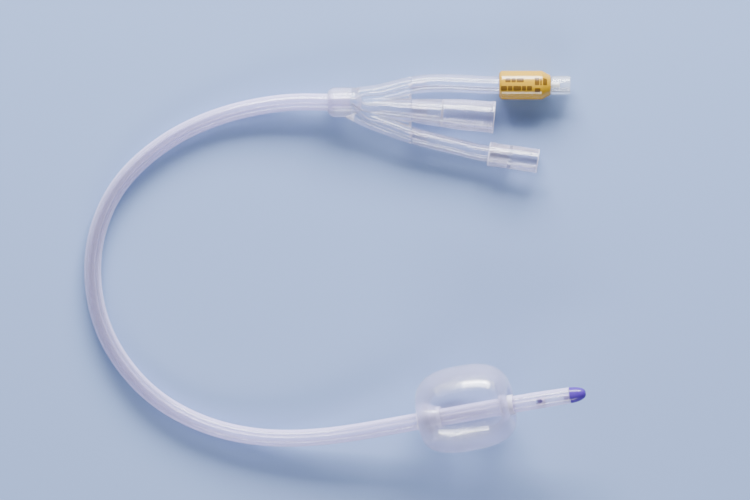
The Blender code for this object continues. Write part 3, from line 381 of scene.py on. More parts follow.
def face_to_plane(shell: Shell, route: Route, fade: float) -> Shell:
    """Turn a shape's first end square to X, fading back to square to the route.

    Every point slides along the route by its own distance in X from the route's line, times a
    share that falls from one at the first row to none at the fade's length.

    Args:
        shell: the shape, whose first row's centre lies in the plane.
        route: its route.
        fade: length of the change, in metres.

    Returns:
        The same shell, changed.
    """
    point, along, _, _ = route.frames(shell.along)
    share = np.clip(1.0 - (shell.along - shell.along.min()) / fade, 0.0, 1.0)
    reach = (shell.grid[..., 0] - point[:, None, 0]) / along[:, None, 0]
    shell.grid = shell.grid - (share[:, None] * reach)[..., None] * along[:, None, :]
    return shell


def mesh_object(name: str, shells: Sequence[Shell], cap_ends: bool = False) -> Piece:
    """Make an object at the origin from shells, its poles and seams closed.

    Args:
        name: the object's name.
        shells: the surfaces; rows of zero radius become poles.
        cap_ends: whether the first and last rows of all shells are joined by flat faces.

    Returns:
        The object, linked to the scene.
    """
    points = np.concatenate([shell.grid.reshape(-1, 3) for shell in shells])
    starts = np.cumsum([0] + [shell.grid.shape[0] * shell.grid.shape[1] for shell in shells])
    quads = [shell.faces() for shell in shells]
    places = np.concatenate([s.corner_places(q) for s, q in zip(shells, quads)])
    faces = np.concatenate([q + start for q, start in zip(quads, starts)])
    mesh = bpy.data.meshes.new(name)
    mesh.from_pydata(points.tolist(), [], faces.tolist())
    layer = mesh.uv_layers.new(name="along_round")
    layer.data.foreach_set("uv", places.astype(np.float32).ravel())
    bm = bmesh.new()
    bm.from_mesh(mesh)
    if cap_ends:
        for last in (False, True):
            ends: set[int] = set()
            for shell, start in zip(shells, starts):
                rows, columns = shell.grid.shape[:2]
                first = start + (rows - 1) * columns * last
                ends |= set(range(first, first + columns))
            edges = [e for e in bm.edges if e.is_boundary and {v.index for v in e.verts} <= ends]
            bmesh.ops.triangle_fill(bm, use_beauty=True, use_dissolve=False, edges=edges)
        bmesh.ops.recalc_face_normals(bm, faces=bm.faces)
    bmesh.ops.remove_doubles(bm, verts=bm.verts, dist=SAME_POINT)
    bm.to_mesh(mesh)
    bm.free()
    item = bpy.data.objects.new(name, mesh)
    bpy.context.scene.collection.objects.link(item)
    return item


def face_middles(item: Piece) -> Array:
    """The middle of each of an object's faces, a row each."""
    middles = np.zeros(3 * len(item.data.polygons))
    item.data.polygons.foreach_get("center", middles)
    return middles.reshape(-1, 3)


def faces_between(item: Piece, route: Route, low: float, high: float) -> Array:
    """Which faces' middles lie between two distances along a straight route.

    Args:
        item: the piece.
        route: a straight line.
        low: the nearer distance.
        high: the farther distance.

    Returns:
        True or false for each face.
    """
    along = (face_middles(item) - route.path[0]) @ route.heading[0]
    return (along > low) & (along < high)


def settle(item: Piece) -> None:
    """Keep what an object's modifiers make as its own mesh."""
    graph = bpy.context.evaluated_depsgraph_get()
    old = item.data
    item.data = bpy.data.meshes.new_from_object(item.evaluated_get(graph), depsgraph=graph)
    item.data.name = old.name
    item.modifiers.clear()
    bpy.data.meshes.remove(old)


def shape_with(item: Piece, tools: Sequence[Piece], how: Cut) -> None:
    """Cut an object with tool shapes, or join them to it, and remove the tools.

    Args:
        item: the piece.
        tools: the shapes that cut it or join it.
        how: what they do.
    """
    for tool in tools:
        modifier = item.modifiers.new(tool.name, "BOOLEAN")
        modifier.operation = how.value
        modifier.solver = "EXACT"
        modifier.object = tool
        settle(item)
        bpy.data.objects.remove(tool, do_unlink=True)


def blend_together(item: Piece, voxel: float, rounds: int) -> None:
    """Melt an object's overlapping shells into one skin with soft inner corners.

    Args:
        item: the piece.
        voxel: size of the cells it is rebuilt from, in metres.
        rounds: smoothing passes.
    """
    remesh = item.modifiers.new("one_skin", "REMESH")
    remesh.mode = "VOXEL"
    remesh.voxel_size = voxel
    if rounds:
        smooth = item.modifiers.new("soft_corners", "SMOOTH")
        smooth.factor = 0.5
        smooth.iterations = rounds
    settle(item)


class Wiring:
    """Short calls for adding and feeding the nodes of one tree."""

    def __init__(self, tree: bpy.types.NodeTree) -> None:
        """Keep the tree."""
        self.tree = tree

    def add(self, kind: str, inputs: Optional[dict[Any, Any]] = None, **settings: Any) -> bpy.types.Node:
        """Add a node.

        Args:
            kind: its type name.
            inputs: what its sockets get, by their name or number.
            settings: its properties.

        Returns:
            The node.
        """
        node = self.tree.nodes.new(kind)
        for key, value in settings.items():
            setattr(node, key, value)
        self.feed(node, inputs or {})
        return node

    def feed(self, node: bpy.types.Node, inputs: dict[Any, Any]) -> None:
        """Give a node's sockets a value, or a link where another socket is given.

        Args:
            node: the node.
            inputs: what its sockets get, by their name or number.
        """
        for key, value in inputs.items():
            if isinstance(value, Socket):
                self.tree.links.new(value, node.inputs[key])
            else:
                node.inputs[key].default_value = value

    def math(self, operation: str, first: Any, second: Any) -> Socket:
        """The outcome of a sum or a product."""
        return self.add("ShaderNodeMath", {0: first, 1: second}, operation=operation).outputs[0]

    def noise(self, place: Socket, scale: Any, detail: float) -> Socket:
        """A noise from none to one over a place, with a scale and a number of finer layers."""
        inputs = {"Vector": place, "Scale": scale, "Detail": detail}
        return self.add("ShaderNodeTexNoise", inputs).outputs["Fac"]

    def between(self, value: Any, low: Any, high: Any) -> Socket:
        """A value from none to one, mapped onto low to high."""
        inputs = {"Value": value, "To Min": low, "To Max": high}
        return self.add("ShaderNodeMapRange", inputs).outputs["Result"]


class Effects:
    """The shader groups that more than one finish uses."""

    FLOAT = "NodeSocketFloat"
    COLOUR = "NodeSocketColor"
    WHITE = (1.0, 1.0, 1.0, 1.0)

    def __init__(self) -> None:
        """Build both groups."""
        self.body = self._body()
        self.streaks = self._streaks()

    @staticmethod
    def _group(name: str, inputs: Sequence[tuple[str, str, Any]], outputs: Sequence[tuple[str, str]]) -> Any:
        """Make an empty shader group.

        Args:
            name: the group's name.
            inputs: name, socket type and first value of each input.
            outputs: name and socket type of each output.

        Returns:
            The group's tree, its wiring, its given sockets and its output node.
        """
        tree = bpy.data.node_groups.new(name, "ShaderNodeTree")
        for label, kind, value in inputs:
            socket = tree.interface.new_socket(name=label, in_out="INPUT", socket_type=kind)
            socket.default_value = value
        for label, kind in outputs:
            tree.interface.new_socket(name=label, in_out="OUTPUT", socket_type=kind)
        kit = Wiring(tree)
        return tree, kit, kit.add("NodeGroupInput").outputs, kit.add("NodeGroupOutput")

    def _body(self) -> bpy.types.NodeTree:
        """Uneven tint, roughness and skin of a moulded or cast material.

        Two noises over Object coordinates: a broad one mixes the two tints, and a fine one moves
        the roughness between its limits. Their sum is the skin's height.

        Returns:
            The group's tree.
        """
        tree, kit, given, made = self._group(
            "uneven_body",
            (
                ("Tint", self.COLOUR, self.WHITE),
                ("Second Tint", self.COLOUR, self.WHITE),
                ("Patch Scale", self.FLOAT, 60.0),
                ("Grain Scale", self.FLOAT, 900.0),
                ("Rough Low", self.FLOAT, 0.2),
                ("Rough High", self.FLOAT, 0.4),
            ),
            (("Colour", self.COLOUR), ("Roughness", self.FLOAT), ("Height", self.FLOAT)),
        )
        place = kit.add("ShaderNodeTexCoord").outputs["Object"]
        patches = kit.noise(place, given["Patch Scale"], 3.0)
        grain = kit.noise(place, given["Grain Scale"], 2.0)
        tints = {"Factor": patches, 6: given["Tint"], 7: given["Second Tint"]}
        outcome = {
            "Colour": kit.add("ShaderNodeMix", tints, data_type="RGBA").outputs[2],
            "Roughness": kit.between(grain, given["Rough Low"], given["Rough High"]),
            "Height": kit.math("ADD", patches, grain),
        }
        kit.feed(made, outcome)
        return tree

    def _streaks(self) -> bpy.types.NodeTree:
        """Fine lines along an extruded tube.

        A noise over the tube's own texture place, stretched so that it changes fast round the
        tube and slowly along it.

        Returns:
            The group's tree.
        """
        inputs = (("Lines Round", self.FLOAT, 30.0), ("Lines Along", self.FLOAT, 2.5))
        tree, kit, given, made = self._group("drawn_lines", inputs, (("Height", self.FLOAT),))
        place = kit.add("ShaderNodeUVMap", uv_map="along_round").outputs["UV"]
        split = kit.add("ShaderNodeSeparateXYZ", {0: place}).outputs
        along = kit.math("MULTIPLY", split["X"], given["Lines Along"])
        around = kit.math("MULTIPLY", split["Y"], given["Lines Round"])
        stretched = kit.add("ShaderNodeCombineXYZ", {"X": along, "Y": around}).outputs[0]
        kit.feed(made, {"Height": kit.noise(stretched, 1.0, 2.0)})
        return tree


@dataclass(frozen=True)
class Finish:
    """One material: its tints, gloss, clearness and the grain of its skin."""

    name: str
    tint: Colour
    second_tint: Colour
    rough_low: float
    rough_high: float
    transmission: float = 0.0
    face_alpha: float = 1.0
    edge_alpha: float = 1.0
    clear_slope: float = 0.25
    ior: float = 1.41
    metallic: float = 0.0
    coat: float = 0.0
    sheen: float = 0.0
    relief: float = 0.1
    lines_round: float = 0.0

    def _haze(self, kit: Wiring) -> Socket:
        """How much of the wall is seen: little where it faces the eye, most of it on edge.

        Args:
            kit: the material's wiring.

        Returns:
            The alpha.
        """
        inputs = {
            "Value": kit.add("ShaderNodeLayerWeight", {"Blend": 0.5}).outputs["Facing"],
            "From Max": self.clear_slope,
            "To Min": self.face_alpha,
            "To Max": self.edge_alpha,
        }
        return kit.add("ShaderNodeMapRange", inputs, interpolation_type="SMOOTHSTEP").outputs["Result"]

    def material(self, effects: Effects) -> bpy.types.Material:
        """Make the material.

        Args:
            effects: the shared shader groups.

        Returns:
            The material.
        """
        made = bpy.data.materials.new(self.name)
        made.use_nodes = True
        kit = Wiring(made.node_tree)
        values = {
            "Tint": (*self.tint, 1.0),
            "Second Tint": (*self.second_tint, 1.0),
            "Rough Low": self.rough_low,
            "Rough High": self.rough_high,
        }
        body = kit.add("ShaderNodeGroup", values, node_tree=effects.body).outputs
        height = body["Height"]
        if self.lines_round:
            lines = {"Lines Round": self.lines_round}
            streaks = kit.add("ShaderNodeGroup", lines, node_tree=effects.streaks)
            height = kit.math("ADD", height, streaks.outputs["Height"])
        bump = {"Strength": self.relief, "Distance": RELIEF_DEPTH, "Height": height}
        look = {
            "Base Color": body["Colour"],
            "Roughness": body["Roughness"],
            "Metallic": self.metallic,
            "IOR": self.ior,
            "Transmission Weight": self.transmission,
            "Coat Weight": self.coat,
            "Sheen Weight": self.sheen,
            "Sheen Roughness": SHEEN_ROUGHNESS,
            "Normal": kit.add("ShaderNodeBump", bump).outputs["Normal"],
        }
        if self.face_alpha < 1.0:
            look["Alpha"] = self._haze(kit)
        kit.feed(made.node_tree.nodes["Principled BSDF"], look)
        return made


class Finishes:
    """The catheter's materials, made once."""

    TUBING = Finish(
        "milky_tubing", (0.78, 0.72, 1.0), (0.71, 0.65, 0.98), 0.10, 0.20, 0.50, face_alpha=0.33,
        clear_slope=0.60, ior=1.6, sheen=0.15, relief=0.02, lines_round=10.0,
    )  # fmt: skip
    CLEAR = {"edge_alpha": 0.92, "clear_slope": 0.34, "ior": 1.6, "sheen": 0.15}
    TINTS = ((0.88, 0.84, 1.0), (0.81, 0.78, 1.0))
    ARM = Finish("clear_arm", *TINTS, 0.06, 0.14, 0.84, face_alpha=0.18, lines_round=14.0, **CLEAR)
    MOULDING = Finish("clear_moulding", *TINTS, 0.06, 0.14, 0.84, face_alpha=0.17, **CLEAR)
    SKIN = Finish(
        "balloon_skin", (0.77, 0.74, 1.0), (0.68, 0.67, 1.0), 0.10, 0.17, 0.74, face_alpha=0.13,
        edge_alpha=0.52, clear_slope=0.42, ior=1.75, sheen=0.3, relief=0.05,
    )  # fmt: skip
    BOND = Finish(
        "milky_bond", (0.88, 0.84, 1.0), (0.81, 0.78, 0.99), 0.16, 0.28, 0.30, face_alpha=0.72, sheen=0.1
    )
    # Painted shade: a darker, opaque finish for the eye's walls and the lumen seen through it, standing in for
    # the shade inside the eye.
    PAINTED_EYE_SHADE = Finish("painted_lumen_shade", (0.46, 0.40, 0.60), (0.40, 0.34, 0.54), 0.4, 0.55)
    TIP = Finish("violet_tip", (0.11, 0.042, 0.42), (0.07, 0.026, 0.33), 0.15, 0.28, 0.25)
    SLEEVE = Finish(
        "yellow_sleeve_plastic", (0.47, 0.27, 0.005), (0.42, 0.235, 0.003), 0.16, 0.28, coat=0.3, ior=1.5
    )
    INK = Finish("sleeve_ink", (0.105, 0.052, 0.005), (0.14, 0.072, 0.008), 0.2, 0.3, ior=1.45)
    HOUSING = Finish(
        "luer_plastic", (0.98, 0.98, 1.0), (0.95, 0.95, 1.0), 0.04, 0.10, 0.85, ior=1.49, face_alpha=0.4
    )
    WHITE = Finish("moulded_white", (0.90, 0.90, 0.88), (0.84, 0.84, 0.82), 0.28, 0.42, ior=1.5)
    SEAL = Finish("seal_rubber_grey", (0.16, 0.16, 0.17), (0.12, 0.12, 0.13), 0.5, 0.7, ior=1.5)
    STEEL = Finish("spring_wire", (0.66, 0.66, 0.68), (0.58, 0.58, 0.60), 0.18, 0.30, metallic=1.0, ior=2.5)

    def __init__(self) -> None:
        """Start with no material made."""
        self.effects = Effects()
        self.made: dict[str, bpy.types.Material] = {}

    def get(self, finish: Finish) -> bpy.types.Material:
        """The finish's material, made at its first use."""
        if finish.name not in self.made:
            self.made[finish.name] = finish.material(self.effects)
        return self.made[finish.name]


@dataclass
class Dresser:
    """Gives finished pieces their material and body, and hides the solid that they stand for."""

    finishes: Finishes = field(default_factory=Finishes)
    count: int = 0

    def dress(
        self,
        item: Piece,
        finish: Finish,
        slot: Slot,
        node: Optional[str] = None,
        body: str = ROOT_BODY,
        sharp: float = 40.0,
    ) -> Piece:
        """Dress one piece.

        Args:
            item: the piece, at the origin.
            finish: its material.
            slot: the record's slot for it; not used.
            node: the solid it stands for.
            body: the body it rides on.
            sharp: edges past this angle stay crisp, in degrees.

        Returns:
            The piece.
        """
        item.data.materials.clear()
        item.data.materials.append(self.finishes.get(finish))
        item.data.shade_smooth()
        item.data.set_sharp_from_angle(angle=math.radians(sharp))
        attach(item, body)
        if node:
            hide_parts(node)
        self.count += 1
        LOG.info("%s: %d faces, rides on %s", item.name, len(item.data.polygons), body)
        return item

    def bond(self, item: Piece, chosen: Array, finish: Finish = Finishes.BOND) -> None:
        """Give chosen faces of a dressed piece another finish, such as a bonded edge's milky look.

        Args:
            item: the piece.
            chosen: true or false for each face.
            finish: their finish.
        """
        item.data.materials.append(self.finishes.get(finish))
        item.data.polygons.foreach_set("material_index", chosen.astype(np.int32))


@dataclass
class Layout:
    """Where things lie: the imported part's shift on the table, and its routes."""

    tubing_radius: float = 3.335 * MM
    tip_length: float = 6.3 * MM
    hub_rear_x: float = -2.7 * MM
    hub_front_x: float = 30.0 * MM
    hub_y: float = 62.3 * MM
    seat_depth: float = 9.0 * MM
    junction_height: float = 6.4 * MM
    funnel_mouth: tuple[float, float] = (62.4 * MM, 56.4 * MM)
    funnel_heading: float = math.radians(-4.75)
    funnel_start_x: float = 7.0 * MM
    cuff_start: tuple[float, float] = (60.0 * MM, 42.2 * MM)
    cuff_heading: float = math.radians(-8.4)
    cuff_height: float = 4.82 * MM
    cuff_tube_depth: float = 8.0 * MM
    valve_start: tuple[float, float] = (64.2 * MM, 69.0 * MM)
    sleeve_radius: float = 5.65 * MM
    sleeve_length: float = 20.2 * MM
    arm_end_in_sleeve: float = 8.2 * MM
    balloon_radius: float = 16.8 * MM
    balloon_half_length: float = 19.0 * MM
    balloon_fullness: float = 2.7
    balloon_tuck: int = 6
    balloon_rings: int = 21
    balloon_pitch: float = math.radians(10.8)
    balloon_lift: float = 0.152 * MM
    rear_neck: float = 9.0 * MM
    front_neck: float = 5.0 * MM
    neck_wall: float = 0.45 * MM

    def __post_init__(self) -> None:
        """Read the part's shift from the sleeve's place, and make the routes."""
        low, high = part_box("valve_sleeve")
        middle = (low.x, 0.5 * (low.y + high.y), 0.5 * (low.z + high.z))
        self.shift = np.array(middle) - [*self.valve_start, self.sleeve_radius]
        self.tubing = self._tubing()
        run = (self.funnel_mouth[0] - self.funnel_start_x) / math.cos(self.funnel_heading)
        mouth = np.array([*self.funnel_mouth, self.junction_height])
        start = mouth - run * level(self.funnel_heading)
        self.funnel = Route.straight(self.shift + start, level(self.funnel_heading), run)
        valve = np.array([*self.valve_start, self.sleeve_radius])
        cuff = np.array([*self.cuff_start, self.cuff_height])
        self.inflation = self._arm(INFLATION_PLAN, valve, 0.0, self.arm_end_in_sleeve)
        self.irrigation = self._arm(IRRIGATION_PLAN, cuff, self.cuff_heading, self.cuff_tube_depth)
        self.cuff = Route.straight(self.shift + cuff, level(self.cuff_heading), self.cuff_tube_depth)
        self.valve = Route.straight(self.shift + valve, X_WAY, self.sleeve_length)

    def balloon_outline(self, rings: int) -> tuple[Array, Array]:
        """Outer outline of the balloon's body.

        A superellipse in distance and radius, whose distances are drawn in towards the middle by
        the neck's length times a high power of how near the tubing it is.

        Args:
            rings: points on it.

        Returns:
            Distances from the balloon's middle, and radii.
        """
        root = self.neck_bore() + self.neck_wall
        angle = 0.5 * math.pi * (1.0 - np.cos(np.linspace(0.0, math.pi, rings)))
        power = 2.0 / self.balloon_fullness
        rise = np.sin(angle) ** power
        reach = -squared(np.cos(angle), power)
        neck = np.where(reach < 0.0, self.rear_neck, self.front_neck) / self.balloon_half_length
        along = self.balloon_half_length * reach * (1.0 - neck * (1.0 - rise) ** self.balloon_tuck)
        return along, root + (self.balloon_radius - root) * rise

    def _tubing(self) -> Route:
        """The tubing's centre line, from its seat in the junction to the tip's end."""
        along, radius = self.balloon_outline(self.balloon_rings)
        pitch = self.balloon_pitch
        lowest = float(np.max(radius * math.cos(pitch) - along * math.sin(pitch)))
        hub_rise = self.junction_height - self.tubing_radius
        balloon_rise = lowest + self.balloon_lift - self.tubing_radius
        plan = np.array(TUBING_PLAN)
        height = self.tubing_radius + plan[:, 2] * hub_rise + plan[:, 3] * balloon_rise
        seat = self.hub_rear_x + self.seat_depth
        xs = np.array([seat, 0.5 * (seat + self.hub_rear_x), self.hub_rear_x])
        start = np.stack([xs, np.full(3, self.hub_y), np.full(3, self.junction_height)], 1)
        rest = np.stack([plan[:, 0] * MM, plan[:, 1] * MM, height], 1)
        return Route(self.shift + np.concatenate([start, rest]))

    def _arm(self, plan: Any, end: Array, heading: float, lead: float) -> Route:
        """A side arm's centre line, ending straight along what it carries.

        Args:
            plan: rows of x and y in mm and the share of the way down from the junction.
            end: where the straight lead-in starts.
            heading: the lead-in's angle from +X.
            lead: the lead-in's length.

        Returns:
            The route.
        """
        table = np.array(plan)
        height = self.junction_height + table[:, 2] * (end[2] - self.junction_height)
        curve = np.stack([table[:, 0] * MM, table[:, 1] * MM, height], 1)
        return Route(self.shift + np.concatenate([curve, end + LINE_SHARES * level(heading) * lead]))

    def tubing_end(self) -> float:
        """Distance along the tubing's route at which the tubing ends and the tip begins."""
        return self.tubing.length - self.tip_length

    def neck_bore(self) -> float:
        """Radius of a hole that the tubing is bonded in."""
        return self.tubing_radius + SEAT_GAP

    def front_distance(self, route: Route) -> float:
        """Distance along a route at which it leaves the junction's front face."""
        return route.distance_at_x(self.hub_front_x + self.shift[0] + FACE_GAP)


@dataclass
class Tubing:
    """The three-lumen tubing with its eyes, and the solid violet tip."""

    layout: Layout
    nose_radius: float = 3.15 * MM
    nose_taper: float = 17.0 * MM
    drain_radius: float = 1.70 * MM
    drain_side: float = -0.60 * MM
    flush_half_width: float = 0.55 * MM
    flush_half_height: float = 1.35 * MM
    septum: float = 0.35 * MM
    fill_radius: float = 0.30 * MM
    fill_wall: float = 0.42 * MM
    fill_angle: float = math.radians(115.0)
    fill_stop: float = 40.7 * MM
    station: float = 1.1 * MM
    upper_eye_back: float = 11.9 * MM
    lower_eye_back: float = 6.5 * MM
    flush_eye_back: float = 18.0 * MM
    flush_eye_size: tuple[float, float] = (2.4 * MM, 1.3 * MM)
    # The eyes' rim: shares of the tubing's radius, and how far the outline has grown there.
    eye_rim: tuple[tuple[float, float], ...] = ((0.86, 1.0), (0.95, 1.04), (1.02, 1.16), (1.4, 1.8), (1.4, 0.0))
    # The faces painted darker as shade: how near the eye, and within what shares of the tubing's and lumen's
    # radii.
    shade_reach: float = 1.7 * MM
    shade_skin: float = 0.9
    shade_spread: float = 1.1
    spigot_length: float = 2.4 * MM
    tip_face: float = 0.88
    tip_reach_power: float = 1.15
    tip_round_power: float = 0.62
    tip_rings: int = 26

    def scale(self, distance: Array) -> Array:
        """Share of the full section kept at a distance: a straight taper over the nose."""
        start = self.layout.tubing_end() - self.nose_taper
        share = np.clip((distance - start) / self.nose_taper, 0.0, 1.0)
        return 1.0 - (1.0 - self.nose_radius / self.layout.tubing_radius) * share

    def flush_side(self) -> float:
        """Sideways place of the irrigation lumen."""
        return self.drain_side + self.drain_radius + self.septum + self.flush_half_width

    def fill_place(self) -> tuple[float, float]:
        """Sideways and upward place of the inflation lumen."""
        reach = self.layout.tubing_radius - self.fill_wall - self.fill_radius
        return reach * math.cos(self.fill_angle), reach * math.sin(self.fill_angle)

    def build_tubing(self) -> Piece:
        """The tubing: an outer tube and two inner ones, joined at the ends, its eyes cut.

        Returns:
            The piece.
        """
        route, skin, end = self.layout.tubing, self.layout.tubing_radius, self.layout.tubing_end()
        stations = np.linspace(FACE_GAP, end, round(end / self.station))
        scale = self.scale(stations)
        tubes = (
            (skin, 0.0, 48, 1.0),
            (self.drain_radius, self.drain_side, 28, 1.0),
            (self.flush_half_height, self.flush_side(), 20, self.flush_half_width / self.flush_half_height),
        )
        shells = [
            carry(route, Profile(stations, radius * scale, side * scale), sides, flatten)
            for radius, side, sides, flatten in tubes
        ]
        item = mesh_object("tubing", shells, cap_ends=True)
        side, up = self.fill_place()
        stop = end - self.fill_stop
        rows = [(-MM, 0.0), (-MM, self.fill_radius), (stop, self.fill_radius), (stop, 0.0)]
        inner = Profile.through(rows).refined(2.0 * self.station)
        inner.shift = np.full_like(inner.along, side)
        lean = self.drain_side / skin
        tools = [
            mesh_object("fill_channel", [carry(route, inner, 10, lift=up)]),
            self._eye("upper_eye", end - self.upper_eye_back, (lean, 1.0)),
            self._eye("lower_eye", end - self.lower_eye_back, (lean, -1.0)),
            self._eye(
                "flush_eye", end - self.flush_eye_back, (1.0, 0.0), *self.flush_eye_size, self.flush_side()
            ),
        ]
        shape_with(item, tools, Cut.REMOVE)
        return item

    def _eye(
        self,
        name: str,
        distance: float,
        way: tuple[float, float],
        length: float = 3.0 * MM,
        width: float = 1.7 * MM,
        floor: float = 0.7 * MM,
    ) -> Piece:
        """A cutter with a stadium outline that widens outwards to round the eye's rim.

        The outline is the width's circle stretched by the length's excess in the direction that
        the cosine's sign gives, and its rows rise from the floor to well outside the tubing.

        Args:
            name: the cutter's name.
            distance: its place along the tubing.
            way: side and up shares of the direction it enters from.
            length: along the tubing.
            width: across it.
            floor: how far from the tubing's line it starts.

        Returns:
            The cutter.
        """
        point, along, side, up = (part[0] for part in self.layout.tubing.frames(distance))
        outward = way[0] * side + way[1] * up
        outward /= np.linalg.norm(outward)
        angle = turns(40)
        rim = [(share * self.layout.tubing_radius, grown) for share, grown in self.eye_rim]
        depth, grown = np.array([(floor, 0.0), (floor, 1.0), *rim]).T
        grow = grown[:, None]
        excess = 0.5 * (length - width) * squared(np.cos(angle), 0.2)
        x = grow * (excess + 0.5 * width * np.cos(angle))
        y = grow * 0.5 * width * np.sin(angle)
        grid = point + depth[:, None, None] * outward + x[..., None] * along
        return mesh_object(name, [Shell(grid + y[..., None] * np.cross(along, outward), depth)])

    def eye_shade_faces(self, item: Piece) -> Array:
        """Which faces are the upper eye's walls, or the part of the lumen that shows through it, to be painted
        darker as shade.

        Args:
            item: the tubing.

        Returns:
            True or false for each face.
        """
        place = self.layout.tubing_end() - self.upper_eye_back
        point, along, side, up = (part[0] for part in self.layout.tubing.frames(place))
        offset = face_middles(item) - point
        inside = np.hypot(offset @ side, offset @ up) < self.shade_skin * self.layout.tubing_radius
        near = np.abs(offset @ side - self.drain_side) < self.shade_spread * self.drain_radius
        return inside & near & (np.abs(offset @ along) < self.shade_reach)

    def build_tip(self) -> Piece:
        """The tip: a spigot and a blunt rounded nose whose radius falls with the angle's cosine.

        Returns:
            The piece.
        """
        start = self.layout.tubing_end()
        scale = float(self.scale(np.array([start]))[0])
        spigot = self.drain_radius * scale - SEAT_GAP
        shift = self.drain_side * scale
        angle = np.linspace(0.0, 0.5 * math.pi, self.tip_rings)
        reach = start + FACE_GAP + (self.layout.tip_length - FACE_GAP) * np.sin(angle) ** self.tip_reach_power
        narrowing = self.tip_face + (1.0 - self.tip_face) * np.cos(angle)
        radius = self.nose_radius * narrowing * np.abs(np.cos(angle)) ** self.tip_round_power
        radius[-1] = 0.0
        rear = start - self.spigot_length
        rows = [(rear, 0.0, shift), (rear, spigot, shift), (start + FACE_GAP, spigot, shift)]
        rows += [(a, r, 0.0) for a, r in zip(reach, radius)]
        return mesh_object("nose", [carry(self.layout.tubing, Profile.through(rows), 48)])

    def dress(self, dresser: Dresser) -> list[Piece]:
        """Build and dress both pieces, with the eye's walls and the lumen behind them painted darker as shade.

        Args:
            dresser: gives them their materials.

        Returns:
            The tubing and the tip.
        """
        tubing = dresser.dress(self.build_tubing(), Finishes.TUBING, Slot.MILKY, "catheter_shaft", sharp=50.0)
        # Painted shade: the eye's walls and the lumen seen through it get a darker finish.
        dresser.bond(tubing, self.eye_shade_faces(tubing), Finishes.PAINTED_EYE_SHADE)
        tip = dresser.dress(self.build_tip(), Finishes.TIP, Slot.VIOLET, "catheter_tip", sharp=50.0)
        return [tubing, tip]


@dataclass
class Balloon:
    """The inflated balloon, a thin sleeve bonded to the tubing at both necks."""

    layout: Layout
    wall: float = 0.40 * MM
    side_shift: float = 1.9 * MM
    from_end: float = 41.4 * MM
    overhang: float = 0.2 * MM
    bond_spread: float = 0.35 * MM
    last_stretch: float = 0.6  # share of the route after which it runs towards +X only
    rings: int = 101
    columns: int = 112

    def build(self) -> Piece:
        """The sleeve: the outer outline, and an inner one a wall's thickness inside it.

        The inner outline is the outer one moved along its own normal, and never comes nearer the
        tubing than the middle of the necks' wall. Rows shift sideways in proportion to how far
        they stand out, because the body bulges more on one side.

        Returns:
            The piece.
        """
        layout = self.layout
        along, radius = layout.balloon_outline(self.rings)
        bore, root = layout.neck_bore(), float(radius[0])
        slope_along, slope_radius = np.gradient(along), np.gradient(radius)
        size = np.hypot(slope_along, slope_radius)
        inner_along = along + self.wall * slope_radius / size
        inner_radius = radius - self.wall * slope_along / size
        inner_radius = np.maximum(inner_radius, bore + 0.5 * layout.neck_wall)
        rear = -layout.balloon_half_length - self.overhang
        front = layout.balloon_half_length + self.overhang
        rows = [(rear, root), *zip(along, radius), (front, root), (front, bore)]
        rows += [(inner_along[-1], bore), *zip(inner_along[::-1], inner_radius[::-1])]
        rows += [(inner_along[0], bore), (rear, bore)]
        profile = Profile.through(rows, closed=True)
        standing = (profile.radius - root) / (layout.balloon_radius - root)
        profile.shift = self.side_shift * np.clip(standing, 0.0, 1.0)
        profile.along = profile.along + layout.tubing_end() - self.from_end
        return mesh_object("balloon_body", [carry(layout.tubing, profile, self.columns)])

    def neck_faces(self, item: Piece) -> Array:
        """Which faces lie on the bonded necks, because their middle is near the tubing's line.

        Args:
            item: the balloon.

        Returns:
            True or false for each face.
        """
        route = self.layout.tubing
        middles = face_middles(item)
        late = route.distance > self.last_stretch * route.length
        where = np.interp(middles[:, 0], route.path[late, 0], route.distance[late])
        point, along, _, _ = route.frames(where)
        offset = middles - point
        offset = offset - np.sum(offset * along, axis=1)[:, None] * along
        limit = self.layout.neck_bore() + self.layout.neck_wall + self.bond_spread
        return np.linalg.norm(offset, axis=1) < limit

    def dress(self, dresser: Dresser) -> Piece:
        """Build and dress the balloon, its bonded necks milkier than its skin."""
        item = dresser.dress(self.build(), Finishes.SKIN, Slot.MEMBRANE, "balloon", sharp=60.0)
        dresser.bond(item, self.neck_faces(item))
        return item


